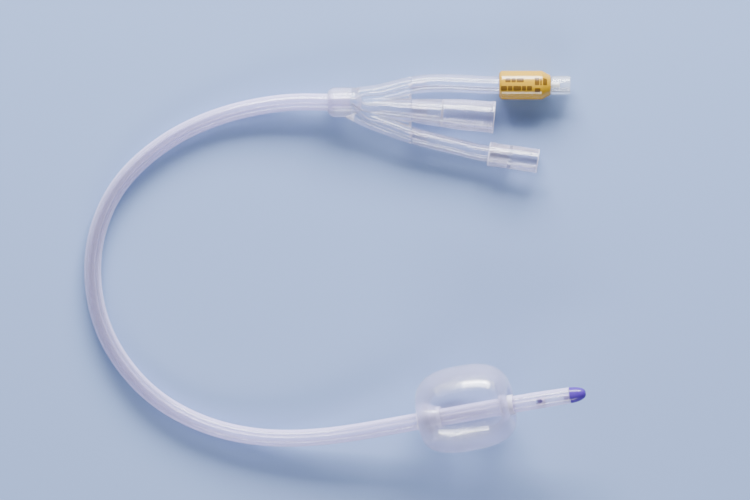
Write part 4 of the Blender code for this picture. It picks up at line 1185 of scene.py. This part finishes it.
@dataclass
class Junction:
    """The moulded junction: a collar, three branches that flow together, webs and spigots."""

    layout: Layout
    collar_radius: float = 5.85 * MM
    collar_length: float = 9.8 * MM
    collar_rear: float = 4.25 * MM
    collar_chamfer: float = 2.0 * MM
    shoulder: tuple[float, float] = (1.6 * MM, 5.45 * MM)
    shoulder_end: tuple[float, float] = (3.2 * MM, 4.2 * MM)
    funnel_root: float = 3.45 * MM
    funnel_mouth_radius: float = 6.15 * MM
    flare_start_x: float = 14.0 * MM
    flare_end_x: float = 50.0 * MM
    flare_power: float = 1.4
    fill_radius: float = 3.45 * MM
    flush_radius: float = 3.30 * MM
    drain_bore: float = 2.60 * MM
    fill_bore: float = 1.60 * MM
    flush_bore: float = 1.80 * MM
    web_thickness: float = 1.7 * MM
    web_rear_x: float = 8.0 * MM
    spigot_length: float = 6.0 * MM
    spigot_wall: float = 0.55 * MM
    overlap: float = 2.0 * MM
    channel_bend: float = 4.4 * MM
    block_length: float = 40.0 * MM
    block_reach: float = 200.0 * MM
    voxel: float = 0.26 * MM
    smoothing: int = 18
    front_edge: float = 0.9 * MM
    edge_share: float = 0.6  # the cut edge's reach above and below the web's middle, by its thickness

    def funnel_radius(self, distance: Array) -> Array:
        """Outer radius of the drainage branch: a smooth flare over its X, from root to mouth."""
        x = self.layout.funnel.frames(distance)[0][:, 0] - self.layout.shift[0]
        share = np.clip((x - self.flare_start_x) / (self.flare_end_x - self.flare_start_x), 0.0, 1.0)
        power = self.flare_power
        opened = share**power * (power - (power - 1.0) * share)
        return self.funnel_root + (self.funnel_mouth_radius - self.funnel_root) * opened

    def _branch(self, route: Route, radius: Optional[float]) -> Shell:
        """A closed bar along a route, past the junction's front face.

        Args:
            route: its line.
            radius: its radius, or none for the drainage branch's flare.

        Returns:
            The bar.
        """
        along = np.linspace(0.0, self.layout.front_distance(route) + self.overlap, 40)
        radii = self.funnel_radius(along) if radius is None else np.full(40, radius)
        return carry(route, Profile.bar(along, radii), 48)

    def _web(self) -> Shell:
        """The flat web between the outer branches: their lines as its two long edges.

        Returns:
            The web, as rows across from one branch to the other, each a flat ring.
        """
        layout = self.layout
        xs = np.linspace(self.web_rear_x, layout.hub_front_x + MM, 24) + layout.shift[0]
        upper, lower = (
            route.frames(np.interp(xs, route.path[:, 0], route.distance))[0][:, 1]
            for route in (layout.inflation, layout.irrigation)
        )
        across, above = (squared(wave(turns(24)), 0.3) for wave in (np.cos, np.sin))
        grid = np.zeros((24, 24, 3))
        grid[..., 0] = xs[:, None]
        grid[..., 1] = 0.5 * (upper + lower)[:, None] + 0.5 * (upper - lower)[:, None] * across
        grid[..., 2] = layout.junction_height + layout.shift[2] + 0.5 * self.web_thickness * above
        first, last = (np.broadcast_to(grid[k].mean(0), (1, 24, 3)) for k in (0, -1))
        return Shell(np.concatenate([first, grid, last]))

    def _collar(self, axis: Route) -> Shell:
        """The collar: a turned barrel with a chamfered rear and a rounded shoulder."""
        front = self.collar_length
        shoulder = [(front + along, radius) for along, radius in (self.shoulder, self.shoulder_end)]
        corners = [(0.0, 0.0), (0.0, self.collar_rear), (self.collar_chamfer, self.collar_radius)]
        corners += [(front, self.collar_radius), *shoulder, (shoulder[-1][0], 0.0)]
        return carry(axis, Profile.through(corners).softened(0.6 * MM, 4), 64)

    def _channel(self, name: str, start: Array, route: Route, root: float, bore: float) -> Piece:
        """A channel from one of the tubing's lumens to the end of that branch's spigot.

        Args:
            name: the cutter's name.
            start: the lumen's centre at the seat's floor.
            route: the branch's line.
            root: the lumen's radius.
            bore: the arm's bore.

        Returns:
            The cutter.
        """
        layout = self.layout
        blend = layout.hub_rear_x + layout.seat_depth + self.channel_bend + layout.shift[0]
        finish = layout.front_distance(route) + self.spigot_length + MM
        points = route.frames(np.linspace(route.distance_at_x(blend), finish, 5))[0]
        back = np.array([2.0 * SEAT_GAP, 0.0, 0.0])
        channel = Route(np.concatenate([[start - back, start + back], points]))
        wide = bore - SEAT_GAP - self.spigot_wall
        share = np.linspace(0.0, 1.0, 40)
        radii = np.interp(share, np.linspace(0.0, 1.0, 6), [root, 0.5 * (root + wide), *[wide] * 4])
        return mesh_object(name, [carry(channel, Profile.bar(share * channel.length, radii), 24)])

    def build(self, tubing: Tubing) -> Piece:
        """The moulding: bars melted into one skin, cut flat in front, with its passages.

        Args:
            tubing: gives the lumens' places.

        Returns:
            The piece.
        """
        layout = self.layout
        seat = layout.shift + np.array([layout.hub_rear_x, layout.hub_y, layout.junction_height])
        axis = Route.straight(seat, X_WAY, 20.0 * MM)
        bars = [
            self._collar(axis),
            self._branch(layout.funnel, None),
            self._branch(layout.inflation, self.fill_radius),
            self._branch(layout.irrigation, self.flush_radius),
            self._web(),
        ]
        item = mesh_object("junction_moulding", bars)
        blend_together(item, self.voxel, 0)
        length, reach = self.block_length, self.block_reach
        ahead = Route.straight(np.array([layout.hub_front_x + layout.shift[0], 0.0, 0.0]), X_WAY, length)
        block = Profile.through([(0.0, 0.0), (0.0, reach), (length, reach), (length, 0.0)])
        shape_with(item, [mesh_object("front_face", [carry(ahead, block, 8)])], Cut.REMOVE)
        blend_together(item, self.voxel, self.smoothing)

        arms = (
            (layout.funnel, self.drain_bore, tubing.drain_side, 0.0, tubing.drain_radius),
            (layout.inflation, self.fill_bore, *tubing.fill_place(), tubing.fill_radius),
            (layout.irrigation, self.flush_bore, tubing.flush_side(), 0.0, tubing.flush_half_width),
        )
        depth = layout.seat_depth + FACE_GAP
        spigots, channels = [], []
        for index, (route, bore, side, up, root) in enumerate(arms):
            start, outer = layout.front_distance(route), bore - SEAT_GAP
            rear, front = start - self.overlap, start + self.spigot_length
            bar = Profile.through([(rear, 0.0), (rear, outer), (front, outer), (front, 0.0)]).refined(MM)
            spigots.append(mesh_object(f"spigot_{index}", [carry(route, bar, 24)]))
            floor = seat + np.array([depth, -side, up])
            channels.append(self._channel(f"channel_{index}", floor, route, root, bore))
        shape_with(item, spigots, Cut.ADD)
        shape_with(item, channels, Cut.REMOVE)
        wide = layout.neck_bore()
        pocket = Profile.through([(-MM, 0.0), (-MM, wide), (depth, wide), (depth, 0.0)])
        shape_with(item, [mesh_object("tubing_seat", [carry(axis, pocket, 48)])], Cut.REMOVE)
        return item

    def dress(self, dresser: Dresser, tubing: Tubing) -> None:
        """Build and dress the junction, its web's cut front edge milkier than the rest."""
        item = dresser.dress(self.build(tubing), Finishes.MOULDING, Slot.CLEAR, "junction_hub")
        layout = self.layout
        front = layout.hub_front_x + layout.shift[0]
        line = Route.straight(np.zeros(3), X_WAY, 1.0)
        edge = faces_between(item, line, front - self.front_edge, front + SEAT_GAP)
        height = face_middles(item)[:, 2] - layout.junction_height - layout.shift[2]
        dresser.bond(item, edge & (np.abs(height) < self.edge_share * self.web_thickness))


@dataclass
class Arms:
    """The drainage funnel, both side arms and the irrigation cuff."""

    layout: Layout
    junction: Junction
    funnel_rim: float = 0.25 * MM
    funnel_rim_length: float = 1.5 * MM
    socket_depth: float = 20.0 * MM
    socket_root: float = 3.95 * MM
    socket_mouth: float = 4.75 * MM
    socket_rings: int = 4
    ring_step: float = 0.12 * MM
    barb_pocket: float = 7.5 * MM
    barb_pocket_radius: float = 2.25 * MM
    cut_edge: float = 0.5 * MM
    cuff_length: float = 19.7 * MM
    cuff_root: float = 4.60 * MM
    cuff_mouth: float = 4.75 * MM
    cuff_lip: float = 0.22 * MM
    cuff_lip_length: float = 2.6 * MM
    cuff_stop: float = 1.2 * MM
    cuff_stop_bore: float = 2.0 * MM
    cuff_socket_root: float = 3.50 * MM
    cuff_socket_mouth: float = 3.72 * MM
    cuff_chamfer: float = 0.2 * MM
    lip_chamfer: float = 0.5 * MM
    pocket_taper: float = 0.5 * MM
    rim_corner: float = 0.15 * MM
    corner: float = 0.12 * MM
    fade: float = 4.0 * MM

    def _moulded(self, name: str, route: Route, profile: Profile, sides: int) -> Piece:
        """A piece whose rear face is square to X, against the junction's front."""
        return mesh_object(name, [face_to_plane(carry(route, profile, sides), route, self.fade)])

    def build_funnel(self) -> Piece:
        """The funnel: the flare outside, a rim, and a tapered socket with fine steps inside.

        Returns:
            The piece.
        """
        route, junction = self.layout.funnel, self.junction
        start, mouth = self.layout.front_distance(route), route.length
        socket, bore = mouth - self.socket_depth, junction.drain_bore
        neck = mouth - self.funnel_rim_length
        flare = np.linspace(start, neck, 40)
        rim = junction.funnel_mouth_radius + self.funnel_rim
        rows = [*zip(flare, junction.funnel_radius(flare)), (neck + self.funnel_rim, rim)]
        rows += [(mouth - 0.5 * self.funnel_rim, rim), (mouth, junction.funnel_mouth_radius)]
        rows += [(mouth, self.socket_mouth)]
        for ring in range(self.socket_rings, 0, -1):
            share = (ring - 0.5) / self.socket_rings
            place = socket + share * self.socket_depth
            radius = self.socket_root + share * (self.socket_mouth - self.socket_root)
            rows += [(place + self.ring_step, radius + self.ring_step), (place, radius)]
        rows += [(socket, self.socket_root), (socket - MM, bore), (start, bore)]
        profile = Profile.through(rows, closed=True).softened(self.rim_corner).refined(1.2 * MM)
        return self._moulded("funnel", route, profile, 72)

    def _arm(self, name: str, route: Route, end: float, radius: float, inner: Sequence[Any]) -> Piece:
        """A round tube from the junction's face to its seat.

        Args:
            name: the piece's name.
            route: its line.
            end: distance of its far end.
            radius: its outer radius.
            inner: corners of its bore, from the far end back.

        Returns:
            The piece.
        """
        start = self.layout.front_distance(route)
        rows = [(start, radius), (end, radius), *inner, (start, inner[-1][1])]
        profile = Profile.through(rows, closed=True).softened(self.corner).refined(0.9 * MM)
        return self._moulded(name, route, profile, 56)

    def build_inflation_arm(self) -> Piece:
        """The inflation arm, its end widened for the retainer's barbs."""
        route = self.layout.inflation
        end, bore, wide = route.length, self.junction.fill_bore, self.barb_pocket_radius
        pocket = end - self.barb_pocket
        inner = [(end, wide), (pocket, wide), (pocket - self.pocket_taper, bore)]
        return self._arm("inflation_tube", route, end, self.junction.fill_radius, inner)

    def build_irrigation_arm(self) -> Piece:
        """The irrigation arm, ending against the stop in its cuff."""
        route = self.layout.irrigation
        end = route.length - FACE_GAP
        inner = [(end, self.junction.flush_bore)]
        return self._arm("irrigation_tube", route, end, self.junction.flush_radius, inner)

    def build_cuff(self) -> Piece:
        """The cuff: a lip, a seat for the arm, a stop and a tapered socket, all turned.

        Returns:
            The piece.
        """
        seat = self.junction.flush_radius + SEAT_GAP
        stop, length = self.layout.cuff_tube_depth, self.cuff_length
        socket = stop + self.cuff_stop
        lip = self.cuff_root + self.cuff_lip
        rows = [
            (0.0, seat),
            (0.0, self.cuff_root - self.lip_chamfer),
            (self.lip_chamfer, lip),
            (self.cuff_lip_length, lip),
            (self.cuff_lip_length + self.cuff_lip, self.cuff_root),
            (length - self.cuff_chamfer, self.cuff_mouth),
            (length, self.cuff_mouth - self.cuff_chamfer),
            (length, self.cuff_socket_mouth),
            (socket, self.cuff_socket_root),
            (socket, self.cuff_stop_bore),
            (stop, self.cuff_stop_bore),
            (stop, seat),
        ]
        profile = Profile.through(rows, closed=True).softened(self.corner).refined(1.5 * MM)
        return mesh_object("cuff", [carry(self.layout.cuff, profile, 72)])

    def dress(self, dresser: Dresser) -> None:
        """Build and dress the four pieces, with milky cut ends."""
        layout, edge, length = self.layout, self.cut_edge, self.cuff_length
        funnel = dresser.dress(self.build_funnel(), Finishes.MOULDING, Slot.CLEAR, "drainage_funnel")
        mouth = layout.funnel.length
        dresser.bond(funnel, faces_between(funnel, layout.funnel, mouth - edge, mouth + MM))
        dresser.dress(self.build_inflation_arm(), Finishes.ARM, Slot.MILKY, "inflation_arm")
        dresser.dress(self.build_irrigation_arm(), Finishes.ARM, Slot.MILKY, "irrigation_arm")
        cuff = dresser.dress(self.build_cuff(), Finishes.MOULDING, Slot.CLEAR, "irrigation_cuff")
        rear = faces_between(cuff, layout.cuff, -MM, edge)
        dresser.bond(cuff, rear | faces_between(cuff, layout.cuff, length - edge, length + MM))


@dataclass
class Valve:
    """The luer valve: sleeve, housing, retainer, stem, seal and spring, all on one axis."""

    layout: Layout
    arm_radius: float = 3.45 * MM
    rear_chamfer: float = 0.9 * MM
    nose_length: float = 3.4 * MM
    nose_radius: float = 3.80 * MM
    neck_radius: float = 3.00 * MM
    neck_length: float = 4.3 * MM
    housing_length: float = 6.3 * MM
    head_radius: float = 3.62 * MM
    head_length: float = 7.4 * MM
    head_edge: float = 0.25 * MM
    mouth_bore: float = 2.15 * MM
    luer_taper: float = 0.03
    lug_height: float = 0.38 * MM
    lug_width: float = 2.6 * MM
    lug_length: float = 1.2 * MM
    lug_setback: float = 0.2 * MM
    lug_root: float = 0.5 * MM
    lug_edge: float = 0.1 * MM
    lug_top: float = 0.92
    seat_web: float = 1.1 * MM
    seat_hole: float = 1.50 * MM
    chamber_radius: float = 2.30 * MM
    stem_radius: float = 0.85 * MM
    stem_tip_radius: float = 1.25 * MM
    stem_reach: float = 3.4 * MM
    stem_head_radius: float = 1.95 * MM
    stem_head_length: float = 0.8 * MM
    stem_travel: float = 1.6 * MM
    stem_tail_stop: float = 1.4 * MM
    seal_thickness: float = 1.2 * MM
    seal_radius: float = 2.05 * MM
    edge: float = 0.3 * MM
    spring_radius: float = 1.50 * MM
    wire_radius: float = 0.175 * MM
    spring_turns: float = 5.5
    spring_rings: int = 340
    flange_radius: float = 3.30 * MM
    flange_length: float = 1.2 * MM
    plug_length: float = 1.5 * MM
    retainer_bore: float = 0.80 * MM
    barb_count: int = 3
    barb_length: float = 7.2 * MM
    barb_rise: float = 0.7
    barb_drop: float = 0.75
    barb_root: float = 1.75 * MM
    barb_crest: float = 2.10 * MM
    print_sunk: float = 0.05 * MM
    print_proud: float = 0.035 * MM
    # Print bars: start and end along the sleeve, height across it, and width, all in mm.
    print_bars: tuple[tuple[float, float, float, float], ...] = (
        (0.7, 3.1, -1.3, 1.8), (3.4, 5.2, -1.3, 1.8), (5.5, 8.6, -1.3, 1.8), (8.9, 10.5, -1.3, 1.8),
        (10.8, 12.8, -1.3, 1.8), (2.4, 4.5, 1.85, 1.6), (4.8, 6.5, 1.85, 1.6), (6.8, 9.6, 1.85, 1.6),
        (13.9, 15.7, 1.35, 2.9), (16.0, 16.6, 1.35, 2.9), (17.1, 18.7, 1.35, 2.9), (13.9, 16.1, -2.1, 1.6),
    )  # fmt: skip

    def __post_init__(self) -> None:
        """Work out where each piece starts along the axis."""
        self.head = self.layout.sleeve_length + FACE_GAP
        self.mouth = self.head + self.head_length
        self.neck = self.head - self.neck_length
        self.housing = self.neck - self.housing_length
        self.web = self.head - self.seat_web + FACE_GAP
        self.flange = self.housing - FACE_GAP - self.flange_length
        self.spring_seat = self.housing + self.plug_length
        self.seal_start = self.web - SEAT_GAP - self.seal_thickness
        self.stem_head = self.seal_start - SEAT_GAP - self.stem_head_length

    def _turned(self, name: str, rows: Sequence[Any], soft: float, sides: int, closed: bool = True) -> Piece:
        """A turned piece on the valve's axis.

        Args:
            name: the piece's name.
            rows: corners of distance and radius.
            soft: reach of its rounded corners.
            sides: facets round it.
            closed: whether the outline closes on itself; otherwise it ends on the axis.

        Returns:
            The piece.
        """
        profile = Profile.through(rows, closed).softened(soft).refined(1.5 * MM)
        return mesh_object(name, [carry(self.layout.valve, profile, sides)])

    def _at(self, distance: float) -> Array:
        """The point of the axis at a distance from the sleeve's rear."""
        return self.layout.valve.path[0] + np.array([distance, 0.0, 0.0])

    def build_sleeve(self) -> Piece:
        """The yellow sleeve, chamfered at both ends."""
        wide, narrow = self.arm_radius + SEAT_GAP, self.neck_radius + SEAT_GAP
        step = self.neck + SEAT_GAP
        full, length = self.layout.sleeve_radius, self.layout.sleeve_length
        rows = [
            (0.0, wide),
            (0.0, full - self.rear_chamfer),
            (self.rear_chamfer, full),
            (length - self.nose_length, full),
            (length, self.nose_radius),
            (length, narrow),
            (step, narrow),
            (step, wide),
        ]
        return self._turned("sleeve", rows, soft=0.35 * MM, sides=96)

    def build_print(self) -> Piece:
        """The print: plain dark bars that lie on the sleeve's upper side.

        Each bar is a flat ring of points, a rectangle with rounded ends, whose height across the
        sleeve gives its angle round it, carried a hair above the surface, also where that narrows
        over the nose, and closed below it.

        Returns:
            The piece.
        """
        full, length = self.layout.sleeve_radius, self.layout.sleeve_length
        under, over = -self.print_sunk, self.print_proud
        layers = ((0.0, under), (1.0, under), (1.0, over), (0.5, over), (0.0, over))
        across_x, across_y = (squared(wave(turns(32)), 0.25) for wave in (np.cos, np.sin))
        shells = []
        for first, last, across, width in self.print_bars:
            x = 0.5 * (first + last) + 0.5 * (last - first) * across_x
            turn = np.arcsin((across + 0.5 * width * across_y) * MM / full)
            middle = math.asin(across * MM / full)
            rows = []
            for share, height in layers:
                at = middle + share * (turn - middle)
                along = MM * (0.5 * (first + last) + share * (x - 0.5 * (first + last)))
                skin = np.interp(along, [length - self.nose_length, length], [full, self.nose_radius])
                radius = skin + height
                rows.append(np.stack([along, radius * np.sin(at), radius * np.cos(at)], 1))
            shells.append(Shell(self._at(0.0) + np.array(rows)))
        return mesh_object("sleeve_print", shells)

    def build_housing(self) -> Piece:
        """The clear housing: a chamber, a seat web and a tapered luer socket with two lugs.

        Returns:
            The piece.
        """
        floor = self.web + self.seat_web
        rows = [
            (self.housing, self.chamber_radius),
            (self.housing, self.arm_radius),
            (self.neck, self.arm_radius),
            (self.neck, self.neck_radius),
            (self.head, self.neck_radius),
            (self.head, self.head_radius - self.head_edge),
            (self.head + self.head_edge, self.head_radius),
            (self.mouth, self.head_radius),
            (self.mouth, self.mouth_bore),
            (floor, self.mouth_bore - self.luer_taper * (self.mouth - floor)),
            (floor, self.seat_hole),
            (self.web, self.seat_hole),
            (self.web, self.chamber_radius),
        ]
        item = self._turned("luer_housing", rows, soft=0.10 * MM, sides=72)
        centre = self._at(self.mouth - 0.5 * self.lug_length - self.lug_setback)
        low, high = self.head_radius - self.lug_root, self.head_radius + self.lug_height
        half = (0.5 * self.lug_length, 0.5 * self.lug_width)
        lugs = []
        for name, way in (("upper_lug", 1.0), ("lower_lug", -1.0)):
            layers = [(0.0, low), (1.0, low), (1.0, high - self.lug_edge), (self.lug_top, high), (0.0, high)]
            layers = [(share, way * height) for share, height in layers]
            lugs.append(mesh_object(name, [Shell(squarish_bar(centre, half, 0.35, 48, layers))]))
        shape_with(item, lugs, Cut.ADD)
        return item

    def build_retainer(self) -> Piece:
        """The barbed retainer: barbs in the arm, a flange, and a plug that carries the spring."""
        flange, bore = self.flange, self.retainer_bore
        rear, front = flange - self.barb_length, flange + self.flange_length
        pitch = self.barb_length / self.barb_count
        rows = [(rear, bore)]
        for barb in range(self.barb_count):
            base = rear + barb * pitch
            rows += [(base, self.barb_root), (base + self.barb_rise * pitch, self.barb_crest)]
            rows += [(base + self.barb_drop * pitch, self.barb_root)]
        plug = self.chamber_radius - SEAT_GAP
        rows += [(flange, self.barb_root), (flange, self.flange_radius), (front, self.flange_radius)]
        rows += [(front, plug), (self.spring_seat, plug), (self.spring_seat, bore)]
        return self._turned("barbed_retainer", rows, soft=0.06 * MM, sides=48)

    def build_stem(self) -> Piece:
        """The stem: a tail in the spring, a head behind the seal, a wide tip in the luer socket."""
        head, radius, edge, tip = self.stem_head, self.stem_radius, self.edge, self.stem_tip_radius
        front = self.head + self.stem_reach
        tail = self.spring_seat + self.stem_travel + self.stem_tail_stop
        rows = [
            (tail, 0.0),
            (tail, radius - edge),
            (tail + edge, radius),
            (head, radius),
            (head, self.stem_head_radius),
            (head + self.stem_head_length, self.stem_head_radius),
            (head + self.stem_head_length, radius),
            (self.web, radius),
            (self.web, tip),
            (front - edge, tip),
            (front, tip - edge),
            (front, 0.0),
        ]
        return self._turned("plunger_stem", rows, soft=0.08 * MM, sides=48, closed=False)

    def build_seal(self) -> Piece:
        """The seal: a ring with chamfered corners, closed against the seat web."""
        inner, outer, edge = self.stem_radius + SEAT_GAP, self.seal_radius, self.edge
        start, end = self.seal_start, self.seal_start + self.seal_thickness
        rows = [(start, inner + edge), (start, outer - edge), (start + edge, outer), (end - edge, outer)]
        rows += [(end, outer - edge), (end, inner + edge), (end - edge, inner), (start + edge, inner)]
        return self._turned("plunger_seal", rows, soft=0.12 * MM, sides=48)

    def build_spring(self) -> Piece:
        """The spring: a round wire along a helix about the valve's axis.

        Returns:
            The piece.
        """
        start = self.spring_seat + FACE_GAP + self.wire_radius
        finish = self.stem_head - FACE_GAP - self.wire_radius
        turn = np.linspace(0.0, 2.0 * math.pi * self.spring_turns, self.spring_rings)
        outward = np.stack([np.zeros_like(turn), np.cos(turn), np.sin(turn)], 1)
        line = self._at(0.0) + self.spring_radius * outward
        line[:, 0] += np.linspace(start, finish, self.spring_rings)
        across = unit(np.cross(unit(np.gradient(line, axis=0)), outward))
        cosine, sine = (wave(turns(14))[None, :, None] for wave in (np.cos, np.sin))
        offset = cosine * outward[:, None, :] + sine * across[:, None, :]
        grid = line[:, None, :] + self.wire_radius * offset
        first, last = (np.broadcast_to(line[k], grid[:1].shape) for k in (0, -1))
        return mesh_object("coil_spring", [Shell(np.concatenate([first, grid, last]))])

    def dress(self, dresser: Dresser) -> None:
        """Build and dress the valve's pieces; the stem and seal ride on the plunger's body, and the spring gets
        a mesh of its own.
        """
        dresser.dress(self.build_sleeve(), Finishes.SLEEVE, Slot.YELLOW, "valve_sleeve")
        dresser.dress(self.build_print(), Finishes.INK, Slot.YELLOW)
        dresser.dress(self.build_housing(), Finishes.HOUSING, Slot.HOUSING, "valve_body")
        dresser.dress(self.build_retainer(), Finishes.WHITE, Slot.WHITE, "valve_retainer")
        dresser.dress(self.build_stem(), Finishes.WHITE, Slot.WHITE, "valve_stem", PLUNGER_BODY)
        dresser.dress(self.build_seal(), Finishes.SEAL, Slot.SEAL, "valve_seal", PLUNGER_BODY)
        spring = dresser.dress(self.build_spring(), Finishes.STEEL, Slot.STEEL, "valve_spring", sharp=80.0)
        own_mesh(spring)


@dataclass
class Studio:
    """The pale table, the soft lights and the camera above."""

    centre: tuple[float, float] = (15.8 * MM, 4.5 * MM)
    view_width: float = 292.5 * MM
    camera_height: float = 4.0
    focus_height: float = 8.0 * MM
    sensor: float = 36.0
    table_reach: float = 3.0
    table_colour: Colour = (0.22, 0.31, 0.55)
    world_colour: Colour = (0.72, 0.76, 0.86)
    world_strength: float = 0.26

    def build_table(self) -> None:
        """A wide plain table whose height is the object's lowest point."""
        mesh = bpy.data.meshes.new("table")
        reach = self.table_reach
        corners = [(-reach, -reach, 0.0), (reach, -reach, 0.0), (reach, reach, 0.0), (-reach, reach, 0.0)]
        mesh.from_pydata(corners, [], [(0, 1, 2, 3)])
        table = bpy.data.objects.new("table", mesh)
        bpy.context.scene.collection.objects.link(table)
        material = bpy.data.materials.new("table_paper")
        material.use_nodes = True
        look = {"Base Color": (*self.table_colour, 1.0), "Roughness": 0.7, "Specular IOR Level": 0.2}
        Wiring(material.node_tree).feed(material.node_tree.nodes["Principled BSDF"], look)
        mesh.materials.append(material)

    def build_world(self) -> None:
        """An even pale surround."""
        world = bpy.data.worlds.new("studio")
        world.use_nodes = True
        look = {"Color": (*self.world_colour, 1.0), "Strength": self.world_strength}
        Wiring(world.node_tree).feed(world.node_tree.nodes["Background"], look)
        bpy.context.scene.world = world

    def add_light(self, name: str, place: Sequence[float], size: Sequence[float], power: float) -> None:
        """A soft rectangular light that faces the object.

        Args:
            name: its name.
            place: where it hangs, in metres.
            size: its width and height.
            power: in watts.
        """
        data = bpy.data.lights.new(name, "AREA")
        data.shape = "RECTANGLE"
        data.size, data.size_y = size
        data.energy = power
        light = bpy.data.objects.new(name, data)
        bpy.context.scene.collection.objects.link(light)
        light.location = place
        x, y, z = np.array([*self.centre, 0.0]) - np.array(place)
        light.rotation_euler = (math.atan2(math.hypot(x, y), -z), 0.0, math.atan2(y, x) - 0.5 * math.pi)

    def build_camera(self) -> None:
        """A long lens that looks straight down, with the photograph's frame."""
        data = bpy.data.cameras.new("above")
        data.sensor_width = self.sensor
        data.lens = self.sensor * (self.camera_height - self.focus_height) / self.view_width
        data.clip_end = 20.0
        camera = bpy.data.objects.new("above", data)
        bpy.context.scene.collection.objects.link(camera)
        camera.location = (*self.centre, self.camera_height)
        bpy.context.scene.camera = camera

    def build(self) -> None:
        """Build the whole studio."""
        self.build_camera()
        self.build_table()
        self.build_world()
        self.add_light("back_softbox", (0.06, 0.95, 0.48), (0.90, 0.42), 52.0)
        self.add_light("back_halo", (0.0, 1.6, 0.70), (3.2, 1.4), 26.0)
        self.add_light("front_strip", (-0.05, -0.95, 0.46), (0.85, 0.26), 10.0)
        self.add_light("overhead_fill", (-0.2, 0.0, 1.6), (0.9, 0.9), 2.0)
        LOG.info("studio is ready")


def declare_tubing(layout: Layout) -> None:
    """Work out points along the tubing and its point at the seat's depth; neither is kept.

    Args:
        layout: gives its route.
    """
    end = layout.tubing_end()
    path = layout.tubing.frames(np.linspace(FACE_GAP, end, 160))[0]
    tuple(layout.tubing.frames(layout.seat_depth)[0][0])


def main() -> None:
    """Build and dress everything in order."""
    logging.basicConfig(level=logging.INFO, format="%(message)s")
    layout = Layout()
    Studio().build()
    dresser = Dresser()
    tubing = Tubing(layout)
    line, tip = tubing.dress(dresser)
    balloon = Balloon(layout).dress(dresser)
    junction = Junction(layout)
    junction.dress(dresser, tubing)
    Arms(layout, junction).dress(dresser)
    Valve(layout).dress(dresser)
    declare_tubing(layout)
    LOG.info("%d pieces dressed", dresser.count)


if __name__ == "__main__":
    main()
